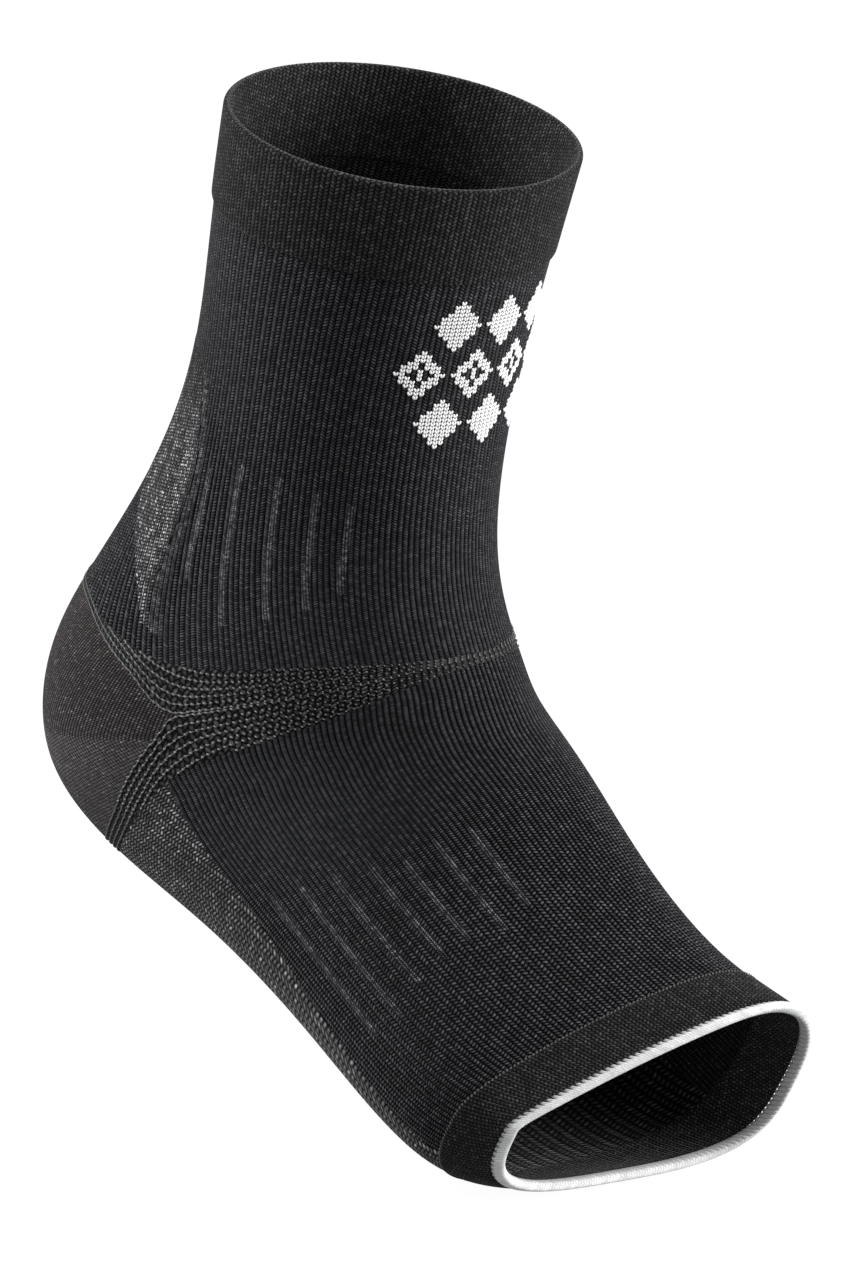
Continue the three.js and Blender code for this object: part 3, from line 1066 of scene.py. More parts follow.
@dataclass(frozen=True)
class KnitFinish(Finish):
    """One knit's colours, stitches and gloss.

    Attributes:
        gap_painted_shade: painted shade, the colour down between the loops.
        yarn: colour of most loops.
        fleck: colour of the lighter loops.
        flecks: share of the loops that are lighter.
        wales: pairs of legs for each unit of the knit map across.
        courses: loops for each unit of the knit map along.
        slant: how far the legs of a loop slant.
        roughness: roughness of the yarn.
        sheen: weight of its sheen.
        roundness: how far a loop falls away at its ends, 0 to 1.
        contrast: power that narrows the loops' light crests.
        pale_gain: how much the pale mask raises the chance of a lighter loop.
        inner_painted_shading: brightness of the inner face against the outer one, painted shade where it is
            under 1 and painted light where it is over 1.
        fine_ribs: whether lighter loops are half the size, and only where the pale mask is.
    """

    gap_painted_shade: Colour
    yarn: Colour
    fleck: Colour
    flecks: float
    wales: float = 0.5
    courses: float = 1.0
    slant: float = 0.5
    roughness: float = 0.9
    sheen: float = 0.14
    roundness: float = 0.9
    contrast: float = 1.5
    pale_gain: float = 0.7
    inner_painted_shading: float = 0.32
    fine_ribs: bool = False

    def look(self, n: Nodes, knit_map: Socket) -> Look:
        """Loops from the knit map colour it and raise it, and fibres roughen both.

        Args:
            n: the material's nodes.
            knit_map: where each point lies on the knit.

        Returns:
            Height of the bump, and the shader's other inputs.
        """
        fibre = n.fibre(YARN_FIBRES)
        place = n.scaled(knit_map, (self.wales, self.courses, 1.0))
        loops = n.group("StitchLoops", Knit=place, Slant=self.slant, Roundness=self.roundness).outputs
        height, loop = loops["Height"], loops["Loop"]
        if self.fine_ribs:
            small = n.group("StitchLoops", Knit=n.scaled(place, FINE_LOOPS)).outputs
            on_rib = n.between(n.mask("pale"), 0.1, 0.5, 0.0, 1.0)
            height = n.number_blend(on_rib, height, small["Height"])
            loop = n.times(small["Loop"], on_rib)
        # Painted shading of the inner face: darker where inner_painted_shading is under 1, and lighter, as
        # painted light, where it is over 1.
        inside = n.between(n.mask("inside"), 0.0, 1.0, 1.0, self.inner_painted_shading)
        outside = n.times(inside, n.between(n.mask("fade"), 0.0, 1.0, 1.0, FADED_TONE))
        chance = n.plus(loop, n.times(n.mask("pale"), self.pale_gain))
        lighter = n.times(n.between(chance, 1.0 - self.flecks, 1.0, 0.0, 1.0), outside)
        yarn = n.blend(lighter, (*self.yarn, 1), (*self.fleck, 1))
        # The loops' colour falls from the yarn's to the painted shade down between them.
        raised = n.math("POWER", n.between(height, LOOP_EDGE, 1.0, 0.0, 1.0), self.contrast)
        chosen = n.math("FRACT", n.times(loops["Loop"], LOOP_SHUFFLE))
        own = n.between(n.times(chosen, chosen), 0.0, 1.0, DARKEST_LOOP, 1.0)
        fuzz = n.between(fibre, 0.35, 0.65, 0.45, 1.2)
        shade = n.math("MULTIPLY", n.times(raised, own, fuzz), outside, clamp=True)
        return n.plus(height, n.times(fibre, FIBRE_RELIEF)), {
            "Base Color": n.blend(shade, (*self.gap_painted_shade, 1), yarn),
            "Roughness": n.between(fibre, 0.3, 0.7, self.roughness - 0.08, min(1.0, self.roughness + 0.06)),
            "Specular IOR Level": 0.04,
            "Sheen Weight": self.sheen,
            "Sheen Roughness": 0.35,
        }


@dataclass(frozen=True)
class ThreadFinish(Finish):
    """A single thread's colour and gloss, for raised stitches and edging.

    Attributes:
        dark: colour of its shaded fibres.
        light: colour of its lit fibres.
        roughness: roughness of the thread.
        sheen: weight of its sheen.
        inner_painted_shade: how far its inner side turns to the tone of a groove, as painted shade.
        lace: how dark the gaps between its loops are, 0 for a plain thread.
    """

    dark: Colour
    light: Colour
    roughness: float = 0.7
    sheen: float = 0.05
    inner_painted_shade: float = 0.38
    lace: float = 0.0
    relief: float = field(default=0.05, kw_only=True)

    def look(self, n: Nodes, knit_map: Socket) -> Look:
        """Each stitch has its own tone, with fine fibres over it.

        Args:
            n: the material's nodes.
            knit_map: where each point lies on the stitches.

        Returns:
            Height of the bump, and the shader's other inputs.
        """
        fibre = n.fibre(THREAD_FIBRES)
        stitch = n.math("FLOOR", n.split(knit_map)[0])
        random = n.add("ShaderNodeTexWhiteNoise", {"W": stitch}, noise_dimensions="1D").outputs["Value"]
        tone = n.times(n.between(fibre, 0.25, 0.65, 0.3, 1.0), n.between(random, 0.0, 1.0, 0.7, 1.0))
        if self.lace:
            loops = n.group("StitchLoops", Knit=n.scaled(knit_map, LACE_LOOPS), Slant=LACE_SLANT)
            tone = n.times(tone, n.between(loops.outputs["Height"], LOOP_EDGE, 0.7, 1.0 - self.lace, 1.0))
        thread = n.blend(tone, (*self.dark, 1), (*self.light, 1))
        # Painted shade: the inner side of the thread turns towards the groove's tone.
        thread = n.blend(n.times(n.mask("inside"), self.inner_painted_shade), thread, GROOVE_TONE)
        return fibre, {
            "Base Color": n.blend(n.mask("groove"), thread, GROOVE_TONE),
            "Roughness": n.between(fibre, 0.3, 0.7, self.roughness - 0.1, self.roughness + 0.1),
            "Specular IOR Level": 0.1,
            "Sheen Weight": self.sheen,
        }


RIBBED = KnitFinish(
    "ribbed_black_knit", (0.0006, 0.0006, 0.0008), (0.14, 0.14, 0.152), (0.34, 0.34, 0.36), 0.5,
    courses=1.3, contrast=2.5, roundness=1.0, fine_ribs=True, pale_gain=0.36, inner_painted_shading=0.55,
)
LEG = replace(
    RIBBED, name="leg_knit", yarn=(0.12, 0.12, 0.132), slant=0.9, courses=1.15, contrast=1.8, inner_painted_shading=0.8,
)
# Its inner faces get painted light, brighter than its outer face.
CUFF = KnitFinish(
    "fine_rib_knit", (0.002, 0.002, 0.002), (0.085, 0.085, 0.087), (0.11, 0.11, 0.11), 0.06, slant=0.7,
    relief=0.12, inner_painted_shading=1.2,
)
GORE = KnitFinish(
    "gore_knit", (0.0008, 0.0008, 0.0008), (0.12, 0.12, 0.124), (0.14, 0.14, 0.14), 0.05, contrast=2.0,
)
HEEL = KnitFinish(
    "heel_jersey", (0.0008, 0.0006, 0.0006), (0.175, 0.148, 0.148), (0.30, 0.26, 0.26), 0.10, slant=0.15,
    courses=2.1, relief=0.35, roundness=0.45, contrast=3.4,
)
SPECKLED = KnitFinish(
    "speckled_knit", (0.001, 0.001, 0.001), (0.27, 0.27, 0.28), (0.62, 0.62, 0.64), 0.26, relief=0.3,
    contrast=3.0, pale_gain=0.3, inner_painted_shading=0.3,
)
FINE_SPECKLED = replace(
    SPECKLED, name="fine_speckled_knit", yarn=(0.27, 0.27, 0.285), fleck=(1.0, 1.0, 1.0), flecks=0.40,
    wales=0.9, contrast=2.8, pale_gain=0.35,
)
GREY_THREAD = ThreadFinish("grey_thread", (0.012, 0.012, 0.012), (0.17, 0.17, 0.172))
BRICK_THREAD = ThreadFinish("pale_brick_thread", (0.03, 0.03, 0.03), (0.34, 0.34, 0.345))
PALE_THREAD = ThreadFinish("pale_seam_thread", (0.02, 0.02, 0.02), (0.14, 0.14, 0.14))
WHITE_THREAD = ThreadFinish("white_thread", (0.72, 0.72, 0.71), (0.96, 0.96, 0.95), 0.75, 0.15, relief=0.12)
LACE_THREAD = replace(WHITE_THREAD, name="white_overlock_thread", dark=(0.34, 0.34, 0.34), lace=0.75)


SHARP_ANGLE = math.radians(65)


@dataclass
class Piece:
    """One named piece of the sleeve, its nodes in the CAD model, its slot and its finishes."""

    name: str
    slot: Slot
    surfaces: list[Surface]
    finishes: list[bpy.types.Material]

    def mesh(self) -> bpy.types.Mesh:
        """The piece's mesh, with its knit map, masks and finishes.

        Points in the same place are welded, and triangles with no area are left out.

        Returns:
            The mesh.
        """
        first, *rest = self.surfaces
        points, faces, knit, masks, finish = first.joined(rest)
        kept, place = weld_map(points)
        corners = place[faces]
        whole = np.all(corners != np.roll(corners, 1, axis=1), axis=1)
        corners, faces, finish = corners[whole], faces[whole], finish[whole]
        mesh = bpy.data.meshes.new(self.name)
        mesh.vertices.add(len(kept))
        mesh.vertices.foreach_set("co", points[kept].astype(np.float32).ravel())
        mesh.loops.add(corners.size)
        mesh.loops.foreach_set("vertex_index", corners.astype(np.int32).ravel())
        mesh.polygons.add(len(corners))
        mesh.polygons.foreach_set("loop_start", np.arange(0, corners.size, 3, dtype=np.int32))
        mesh.polygons.foreach_set("material_index", finish.astype(np.int32))
        mesh.update(calc_edges=True)
        layer = mesh.uv_layers.new(name=KNIT_MAP, do_init=False)
        layer.uv.foreach_set("vector", knit[faces.ravel()].astype(np.float32).ravel())
        for name, mask in masks.items():
            data = mesh.attributes.new(name, "FLOAT", "POINT").data
            data.foreach_set("value", mask[kept].astype(np.float32))
        mesh.shade_smooth()
        mesh.set_sharp_from_angle(angle=SHARP_ANGLE)
        for material in self.finishes:
            mesh.materials.append(material)
        return mesh

    def place(self) -> None:
        """Put the piece in the scene, ride it on the sleeve's one body and let it stand for its CAD node."""
        mesh = self.mesh()
        obj = bpy.data.objects.new(f"{self.name}_knit", mesh)
        bpy.context.scene.collection.objects.link(obj)
        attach(obj, "root")
        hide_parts(self.name)
        LOG.info("%s: %d triangles", obj.name, len(mesh.polygons))


# Knit relief in millimetres: height of a support rib, depth of the line beside it and of the grooves of an
# inner face, and length of a cuff's stitches. A fold is drawn with a few points to each quarter turn.
RIB_HEIGHT = 0.12
LINE_DEPTH = 0.2
BACK_GROOVE = 0.3
CUFF_STITCH = 0.9
FOLD_POINTS = 5
SAME_PLACE = 1e-6


@dataclass(frozen=True)
class Welt:
    """A doubled band, in millimetres.

    Attributes:
        depth: its length along the sleeve.
        wall: its thickness.
        proud: how far its outer face stands out.
        radius: radius of its folds, at most.
        face_points: points along each face.
        groove: depth of the grooves between its ribs.
    """

    depth: float
    wall: float
    proud: float
    radius: float
    face_points: int
    groove: float

    def outline(self) -> Array:
        """The band cut across: a long rounded rectangle, run round once along its outer face first.

        Its faces are straight, and each fold is two quarter circles with a short side between them.

        Returns:
            Rows of share along the band, height over the surface, and distance run.
        """
        radius = min(self.radius, self.wall / 2 - 0.01)
        side = self.wall / 2 - radius
        corner = np.linspace(0, math.pi / 2, FOLD_POINTS)
        sine, cosine = radius * np.sin(corner), radius * np.cos(corner)
        along = radius + (self.depth - 2 * radius) * np.linspace(0, 1, self.face_points)
        outer = np.column_stack([along, np.full(self.face_points, self.wall / 2)])
        far_end, near_end = self.depth - radius, radius
        outline = np.vstack([
            outer[:-1],
            np.column_stack([far_end + sine, side + cosine]),
            np.column_stack([far_end + cosine, -side - sine]),
            outer[-2:0:-1] * (1, -1),
            np.column_stack([near_end - sine, -side - cosine]),
            np.column_stack([near_end - cosine, side + sine]),
        ])
        apart = np.linalg.norm(np.diff(outline, axis=0), axis=1)
        outline = outline[np.concatenate([[True], apart > SAME_PLACE])]
        if np.linalg.norm(outline[-1] - outline[0]) > SAME_PLACE:
            outline = np.vstack([outline, outline[:1]])
        run = np.concatenate([[0.0], np.cumsum(np.linalg.norm(np.diff(outline, axis=0), axis=1))])
        middle = self.proud - self.wall / 2
        return np.column_stack([outline[:, 0] / self.depth, outline[:, 1] + middle, run])


@dataclass
class Workshop:
    """What every sub-assembly is made with: the form, the plan of its wales and their columns."""

    form: SleeveForm
    plan: KnitPlan
    samples: int = 4

    def __post_init__(self) -> None:
        """Find the stations of the cuffs' edges."""
        sizes = self.form.sizes
        self.top_cuff = self.plan.station_from_end(0, sizes.top_cuff_depth * MM)
        self.toe_cuff = self.plan.station_from_end(1, sizes.toe_cuff_depth * MM)
        self.edging = self.plan.station_from_end(1, sizes.edging_width * MM)

    def wale_net(
        self, shares: Array, start: Seam, end: Seam, courses: float, edges: Sequence[dict[float, float]],
    ) -> tuple[Net, Array]:
        """A net whose columns follow the wales, with some of its columns moved onto given edges.

        Args:
            shares: shares of the way from one seam to the other, one for each row.
            start: station of the first seam by angle.
            end: station of the last seam by angle.
            courses: courses of stitches in the whole band.
            edges: for each edge, the angle where it crosses each share.

        Returns:
            The net, and for each edge the column that it follows, by row.
        """
        columns = self.plan.wales * self.samples + 1
        around = np.tile(np.linspace(-1, 1, columns), (len(shares), 1))
        follow = np.full((len(edges), len(shares)), -1)
        for number, edge in enumerate(edges):
            for row, share in enumerate(shares):
                if share not in edge:
                    continue
                angle = edge[share]
                station = float(mix(start(angle), end(angle), share))
                place = self.plan.share_at(station, angle)
                column = int(round((place + 1) / 2 * (columns - 1)))
                around[row, column] = place
                follow[number, row] = column
        station, angle = self.plan.settle(start, end, shares[:, None], around)
        wale = (around + 1) / 2 * self.plan.wales
        course = np.broadcast_to(shares[:, None] * courses, around.shape)
        return Net(station, angle, wale, course), follow

    def ribbed_faces(self, net: Net, ribs: Array, lines: Array, depth: Array | float) -> tuple[Array, Array]:
        """Heights of the two faces of ribbed knit.

        The outer face has a groove between wales, half as deep on a support rib, and the inner face has
        shallower grooves half a wale on.

        Args:
            net: a net of wales.
            ribs: mask of the support ribs, which stand out.
            lines: mask of the dark lines beside them, which lie deeper.
            depth: depth of the outer grooves in millimetres.

        Returns:
            Heights of the outer and of the inner face, in millimetres.
        """
        cut = depth * rib_groove(net.wale) * (1 - 0.5 * ribs)
        outer = RIB_HEIGHT * ribs - LINE_DEPTH * lines - cut
        return outer, BACK_GROOVE * rib_groove(net.wale + 0.5) - self.form.sizes.knit_wall

    def ring_surface(self, net: Net, height: Array, masks: dict[str, Array]) -> Surface:
        """The surface of a band whose rows close on themselves.

        Args:
            net: its places.
            height: heights over the sleeve's surface, in millimetres.
            masks: values for the finish.

        Returns:
            The surface.
        """
        outward = self.form.frame(net.station, net.angle)[2]
        points = self.form.point(net.station, net.angle) + outward * height[..., None] * MM
        knit = np.column_stack([net.wale.ravel(), net.course.ravel()])
        flat = {name: np.broadcast_to(mask, net.shape).ravel() for name, mask in masks.items()}
        return Surface(points.reshape(-1, 3), net.all_faces(), knit, flat)

    def cuff(self, welt: Welt, wales: int, start: float, end: float) -> Surface:
        """A doubled band round an end of the sleeve: its outline carried round, with ribs on both faces.

        Args:
            welt: its size across.
            wales: ribs round it.
            start: station of its first edge.
            end: station of its second edge.

        Returns:
            The surface.
        """
        around = np.linspace(-1, 1, wales * self.samples + 1)
        share, height, run = (column[:, None] for column in welt.outline().T)
        shape = (len(share), len(around))
        station = np.broadcast_to(mix(start, end, share), shape)
        angle = self.plan.angle_at(station, np.broadcast_to(around, shape), even=True)
        wale = np.broadcast_to((around + 1) / 2 * wales, shape)
        net = Net(station, angle, wale, np.broadcast_to(run / CUFF_STITCH, shape))
        outside = np.broadcast_to(height > welt.proud - welt.wall / 2, shape)
        groove = rib_groove(wale) * welt.groove
        # The inside mask marks the band's inner faces, which the cuff finish paints lighter as painted light.
        return self.ring_surface(net, height - np.where(outside, groove, -groove), {"inside": 1.0 - outside})


@dataclass
class LegAssembly:
    """The top cuff, the ribbed leg and the Achilles panel.

    Sizes across the surface are in millimetres, and the motif's are in wales and courses, except its top
    and pitch, which are stations.
    """

    rows: int = 50
    rib_depth: float = 0.28
    upper_depth: float = 0.55
    bold_start: float = 0.25
    bold_end: float = 0.7
    bold_back: tuple[float, float] = (66.0, 92.0)
    back_depth: float = 0.7
    courses: float = 132.0
    cuff_wales: int = 208
    zigzag: float = 0.5
    rib_lean: float = 1.6
    edge_scale: float = 0.74
    glow: float = 0.62
    glow_width: float = 4.5
    panel_proud: float = 0.1
    panel_edge: float = 3.5
    shade_edge: float = 3.0
    shade: float = 0.8
    scallop_reach: float = 6.0
    scallop_period: float = 7.0
    panel_fade: float = 0.2
    motif_top: float = 0.088
    motif_pitch: float = 0.00325
    motif_wales: int = 19
    motif_courses: int = 39
    diamond_pitch: int = 13
    diamond_spacing: float = 10.0
    diamond_half_width: float = 4.6
    diamond_half_height: float = 6.4
    ring: tuple[float, float] = (0.16, 0.52)
    lobe_turn: float = 66.0
    lobe_slide: float = 0.3
    lobe: StitchShape = StitchShape(1.2, 0.66, 0.5)

    def top_cuff(self, shop: Workshop) -> Piece:
        """The doubled welt round the leg opening.

        Args:
            shop: the workshop.

        Returns:
            The piece.
        """
        sizes = shop.form.sizes
        welt = Welt(sizes.top_cuff_depth, sizes.top_cuff_wall, sizes.top_cuff_proud, 0.95, 12, 0.16)
        band = shop.cuff(welt, self.cuff_wales, 0.0, shop.top_cuff)
        return Piece("top_cuff", Slot.CUFF, [band], [CUFF.make()])

    def panel_edges(self, shares: Array, rows: dict[str, int]) -> list[dict[float, float]]:
        """The panel's outer and inner edges on both sides, stepped in and out from row to row.

        Args:
            shares: shares of the way down the leg tube, one for each row.
            rows: the rows of the panel's top, fork and tip.

        Returns:
            For each edge, the angle where it crosses each share.
        """
        edges = []
        for side in Side:
            for column, first, way in ((1, rows["top"], 1), (2, rows["fork"], -1)):
                inside = shares[first: rows["tip"] + 1]
                step = np.where(np.arange(len(inside)) % 2 == 0, 0.5, -0.5) * self.zigzag
                angles = read_table(PANEL_EDGES, inside, column) + step * way
                edges.append(dict(zip(inside.tolist(), (side.value * angles).tolist())))
        return edges

    def leg(self, shop: Workshop) -> list[Piece]:
        """The leg tube and the panel let into its back, cut from one net of wales.

        Args:
            shop: the workshop.

        Returns:
            The two pieces.
        """
        shares = np.round(np.linspace(0, 1, self.rows + 1), 6)
        marks = {"top": PANEL_TOP, "fork": PANEL_FORK, "tip": PANEL_TIP}
        rows = {name: int(round(share * self.rows)) for name, share in marks.items()}
        top, fork, tip = rows.values()

        def cuff_edge(angle: Array) -> Array:
            """Station of the cuff's edge, the same at every angle."""
            return np.full(np.shape(angle), shop.top_cuff)

        net, follow = shop.wale_net(shares, cuff_edge, gore_top, self.courses, self.panel_edges(shares, rows))
        outer_low, inner_low, outer_high, inner_high = follow
        last, columns = self.rows, net.shape[1]
        none, end = np.zeros(len(shares), int), np.full(len(shares), columns - 1)
        leg_faces, panel_faces = (
            np.vstack([between(left, right, first, until, columns) for left, right, first, until in strips])
            for strips in (
                (
                    (none, end, 0, top), (none, outer_low, top, tip), (outer_high, end, top, tip),
                    (inner_low, inner_high, fork, tip), (none, end, tip, last),
                ),
                (
                    (outer_low, outer_high, top, fork), (outer_low, inner_low, fork, tip),
                    (inner_high, outer_high, fork, tip),
                ),
            )
        )
        ribs, lines = SupportRibs(ANKLE_RIBS, 180.0, self.rib_lean).masks(shop.plan, net)
        turn = np.abs(wrapped(net.angle))
        low = smooth_step(self.bold_start, self.bold_end, shares)[:, None]
        back = low * (1 - smooth_step(*self.bold_back, turn))
        bold = mix(self.upper_depth, 1.0, low) + self.back_depth * back
        outer, inner = shop.ribbed_faces(net, ribs, lines, self.rib_depth * bold)
        distance = (read_table(PANEL_EDGES, shares, 1)[:, None] - turn) * self.edge_scale
        beside = (shares >= PANEL_TOP) & (shares <= PANEL_TIP)
        glow = self.glow * bell(distance, self.glow_width) * beside[:, None] * (distance < 0)
        marked = {"pale": np.maximum(ribs, glow) - lines}
        tube = wall_from_net(shop.form, net, leg_faces, outer, inner, marked)
        pale = scalloped_edge(distance, net.course + distance, self.scallop_reach, self.scallop_period)
        fade_down = 1 - smooth_step(PANEL_TOP, PANEL_TOP + self.panel_fade, shares)[:, None]
        face = self.panel_proud - 0.5 * self.rib_depth * rib_groove(net.wale)
        panel = wall_from_net(shop.form, net, panel_faces, face, inner, {
            "pale": pale * smooth_step(0.0, self.panel_edge, distance),
            "fade": np.maximum(fade_down, self.shade * (1 - smooth_step(0.0, self.shade_edge, distance))),
        })
        return [
            Piece("leg_tube", Slot.RIBBED, [tube, *self.motif(shop)], [LEG.make(), WHITE_THREAD.make()]),
            Piece("achilles_panel", Slot.SPECKLED, [panel], [FINE_SPECKLED.make()]),
        ]

    def motif(self, shop: Workshop) -> list[Surface]:
        """White diamonds knitted into the front of the leg, each stitch a V of two raised lobes.

        A stitch is white where its distance from the nearest diamond's middle, across over the half width
        plus along over the half height, is under one. Every second row of diamonds is hollow.

        Args:
            shop: the workshop.

        Returns:
            The left lobes and the right lobes.
        """
        wale, course = (part.ravel() for part in np.meshgrid(
            np.arange(-self.motif_wales, self.motif_wales + 1), np.arange(self.motif_courses),
        ))
        row = course // self.diamond_pitch
        rise = course % self.diamond_pitch - (self.diamond_pitch - 1) / 2
        half = self.diamond_spacing / 2
        across = (wale + np.where(row % 2 == 0, 0.0, half) + half) % self.diamond_spacing - half
        inside = np.abs(across) / self.diamond_half_width + np.abs(rise) / self.diamond_half_height
        whole = np.abs(wale - across) + self.diamond_half_width <= self.motif_wales + 1
        filled = (row % 2 == 0) | (inside > self.ring[1]) | (inside < self.ring[0])
        white = (inside < 1.0) & whole & filled
        share = (wale[white] + 0.5) / shop.plan.wales * 2
        share = np.where(share <= 0, share + 1, share - 1)
        station = self.motif_top + course[white] * self.motif_pitch
        angle = shop.plan.angle_at(station, share)
        return [
            stitches(
                shop.form, station, angle, -self.lobe_turn * side.value, self.lobe, 1.0, 0.1,
                slide=self.lobe_slide * side.value,
            )
            for side in Side
        ]

    def build(self, shop: Workshop) -> list[Piece]:
        """All the leg's pieces."""
        return [self.top_cuff(shop), *self.leg(shop)]


@dataclass
class HeelAssembly:
    """The banded gore round the ankle and the heel cup set in it.

    Sizes across the surface are in millimetres, and the places round it are angles.
    """

    gore_rows: int = 6
    row_columns: int = 4
    dash_columns: int = 3
    gore_sunk: float = 0.08
    gore_wave: float = 0.05
    rim_room: float = 0.3
    first_row: float = 0.2
    heel_spacing: float = 0.72
    spacing_start: float = 40.0
    row_step: float = 0.32
    thin_spacing: float = 0.7
    thinnest_spacing: float = 0.34
    dashes: int = 184
    dash_rounds: int = 10
    dash_turn: float = 7.0
    dash_overlap: float = 1.25
    seam_overlap: float = 1.7
    tick_turn: float = 46.0
    tick_start: float = 66.0
    tick: StitchShape = StitchShape(0.95, 0.42, 0.45)
    tick_lift: float = 0.16
    tick_fade: tuple[float, float] = (102.0, 142.0)
    faded_tick: float = 0.8
    dash_width: float = 0.45
    dash_height: float = 0.4
    dash_lift: float = 0.1
    dash_fade: tuple[float, float] = (78.0, 112.0)
    faded_dash: float = 0.4
    full_spacing: float = 1.6
    stitch_scale: tuple[float, float] = (0.7, 1.05)
    shown_share: tuple[float, float] = (-0.02, 0.98)
    jersey_pitch: float = 1.4
    jersey_columns: int = 241
    fold_turn: tuple[float, float] = (30.0, 45.0)
    jersey_rows: int = 61
    heel_station: float = 0.56
    heel_round: float = 3.0
    upper_lean: float = 0.6
    lower_lean: float = 0.9
    fold_depth: float = 0.12
    fold_width: float = 0.8

    def ankle_band(self, shop: Workshop) -> Piece:
        """The gore: two nets that meet in front of the heel cup, with a raised row for each course.

        Args:
            shop: the workshop.

        Returns:
            The piece.
        """
        around = np.linspace(-1, 1, self.dashes * self.dash_columns + 1)
        share = np.linspace(0, 1, self.gore_rows * self.row_columns + 1)[:, None]
        shape = (len(share), len(around))
        course = np.broadcast_to(share * self.gore_rows, shape)
        height = -self.gore_sunk - self.gore_wave * np.cos(2 * math.pi * course)
        walls = []
        for start, end in ((gore_top, heel_top), (heel_bottom, gore_bottom)):
            station, angle = shop.plan.settle(start, end, share, np.broadcast_to(around, shape), even=True)
            net = Net(station, angle, np.broadcast_to((around + 1) / 2 * self.dashes, shape), course)
            walls.append(wall_from_net(shop.form, net, net.all_faces(), height, -shop.form.sizes.knit_wall))
        finishes = [GORE.make(), GREY_THREAD.make(), BRICK_THREAD.make()]
        return Piece("ankle_band", Slot.GORE, [*walls, *self.dash_rows(shop)], finishes)

    def row_share(
        self, shop: Workshop, seam: Seam, rim: Seam, angle: Array, row: int,
    ) -> tuple[Array, Array]:
        """Where a row of the gore lies between the heel cup's seam and the outer seam.

        In front of the heel cup's corner the rows divide the gore's width evenly, so they run together
        towards the front. Beside the heel cup they keep their spacing and end at the outer seam.

        Args:
            shop: the workshop.
            seam: station of the heel cup's seam by angle.
            rim: station of the outer seam by angle.
            angle: where to find the row.
            row: its number from the heel cup.

        Returns:
            The share of the way from the seam to the rim, and the rows' spacing in millimetres.
        """
        def width(at: Array) -> Array:
            """Millimetres from the seam to the rim."""
            across = shop.form.point(rim(at), at) - shop.form.point(seam(at), at)
            return np.linalg.norm(across, axis=-1) / MM

        turn = np.abs(wrapped(angle))
        wide = np.maximum(width(angle), 0.01)
        room = self.gore_rows + self.rim_room
        corner = width(np.array([-CORNER_ANGLE]))[0] / room
        behind = corner * mix(self.heel_spacing, 1.0, smooth_step(self.spacing_start, CORNER_ANGLE, turn))
        spacing = np.where(turn < CORNER_ANGLE, behind, wide / room)
        return (row + self.first_row) * spacing / wide, spacing

    def row_run(self, shop: Workshop, seam: Seam, rim: Seam, row: int) -> tuple[Array, Array, Array, Array]:
        """The run of one row of the gore, found by going back and forth between station and angle.

        The stations are then averaged over a reach that grows with the row's number, so outer rows turn
        the corner more gently.

        Args:
            shop: the workshop.
            seam: station of the heel cup's seam by angle.
            rim: station of the outer seam by angle.
            row: its number from the heel cup.

        Returns:
            For each dash its station, its angle, the share of the way to the rim, and the rows' spacing.
        """
        place = (np.arange(self.dashes) + self.row_step * row % 1) / self.dashes * 2 - 1
        station = np.full(self.dashes, 0.5)
        for _ in range(self.dash_rounds):
            angle = shop.plan.angle_at(station, place, even=True)
            share, spacing = self.row_share(shop, seam, rim, angle, row)
            station = mix(seam(angle), rim(angle), np.clip(share, 0, 1.6))
        reach = 2 * row
        padded = np.concatenate([station[-reach:], station, station[:reach]]) if reach else station
        station = np.convolve(padded, np.full(2 * reach + 1, 1 / (2 * reach + 1)), "valid")
        angle = shop.plan.angle_at(station, place, even=True)
        wide = rim(angle) - seam(angle)
        return station, angle, (station - seam(angle)) / np.where(wide == 0, 1.0, wide), spacing

    def dash_rows(self, shop: Workshop) -> list[Surface]:
        """The threads on the gore: overlapping grey dashes along each row, and small pale slanted ticks.

        The dashes thin out towards the front, where the ticks take their place. Where the rows run close
        together, only every second or third one shows.

        Args:
            shop: the workshop.

        Returns:
            The dashes and the ticks of every row.
        """
        made = []
        for seam, rim in ((heel_top, gore_top), (heel_bottom, gore_bottom)):
            for row in range(self.gore_rows + 1):
                station, angle, share, spacing = self.row_run(shop, seam, rim, row)
                points = shop.form.point(station, angle)
                way = np.roll(points, -1, axis=0) - np.roll(points, 1, axis=0)
                pitch = np.linalg.norm(way, axis=1) / 2 / MM
                merge = 1 + (spacing <= self.thin_spacing) + (spacing <= self.thinnest_spacing)
                shown = (row % merge == 0) & (share > self.shown_share[0]) & (share < self.shown_share[1])
                turn = np.abs(wrapped(angle))
                fade, front = smooth_step(*self.dash_fade, turn), smooth_step(*self.tick_fade, turn)
                mirrored = np.where(wrapped(angle) > 0, -1.0, 1.0)
                scale = np.clip(spacing * merge / self.full_spacing, *self.stitch_scale)
                overlap = self.seam_overlap if row == 0 else self.dash_overlap
                zigzag = self.dash_turn * (-1.0) ** np.arange(self.dashes) * mirrored
                fine = shown & (fade < 1)
                dash = StitchShape(pitch[fine] * overlap, self.dash_width, self.dash_height)
                made.append(stitches(
                    shop.form, station[fine], angle[fine], zigzag[fine], dash,
                    (scale * mix(1.0, self.faded_dash, fade))[fine], self.dash_lift, finish=1, way=way[fine],
                ))
                ticks = shown & (turn > self.tick_start)
                made.append(stitches(
                    shop.form, station[ticks], angle[ticks], (-self.tick_turn * mirrored)[ticks], self.tick,
                    (scale * mix(1.0, self.faded_tick, front))[ticks], self.tick_lift, finish=2,
                    way=way[ticks],
                ))
        return made

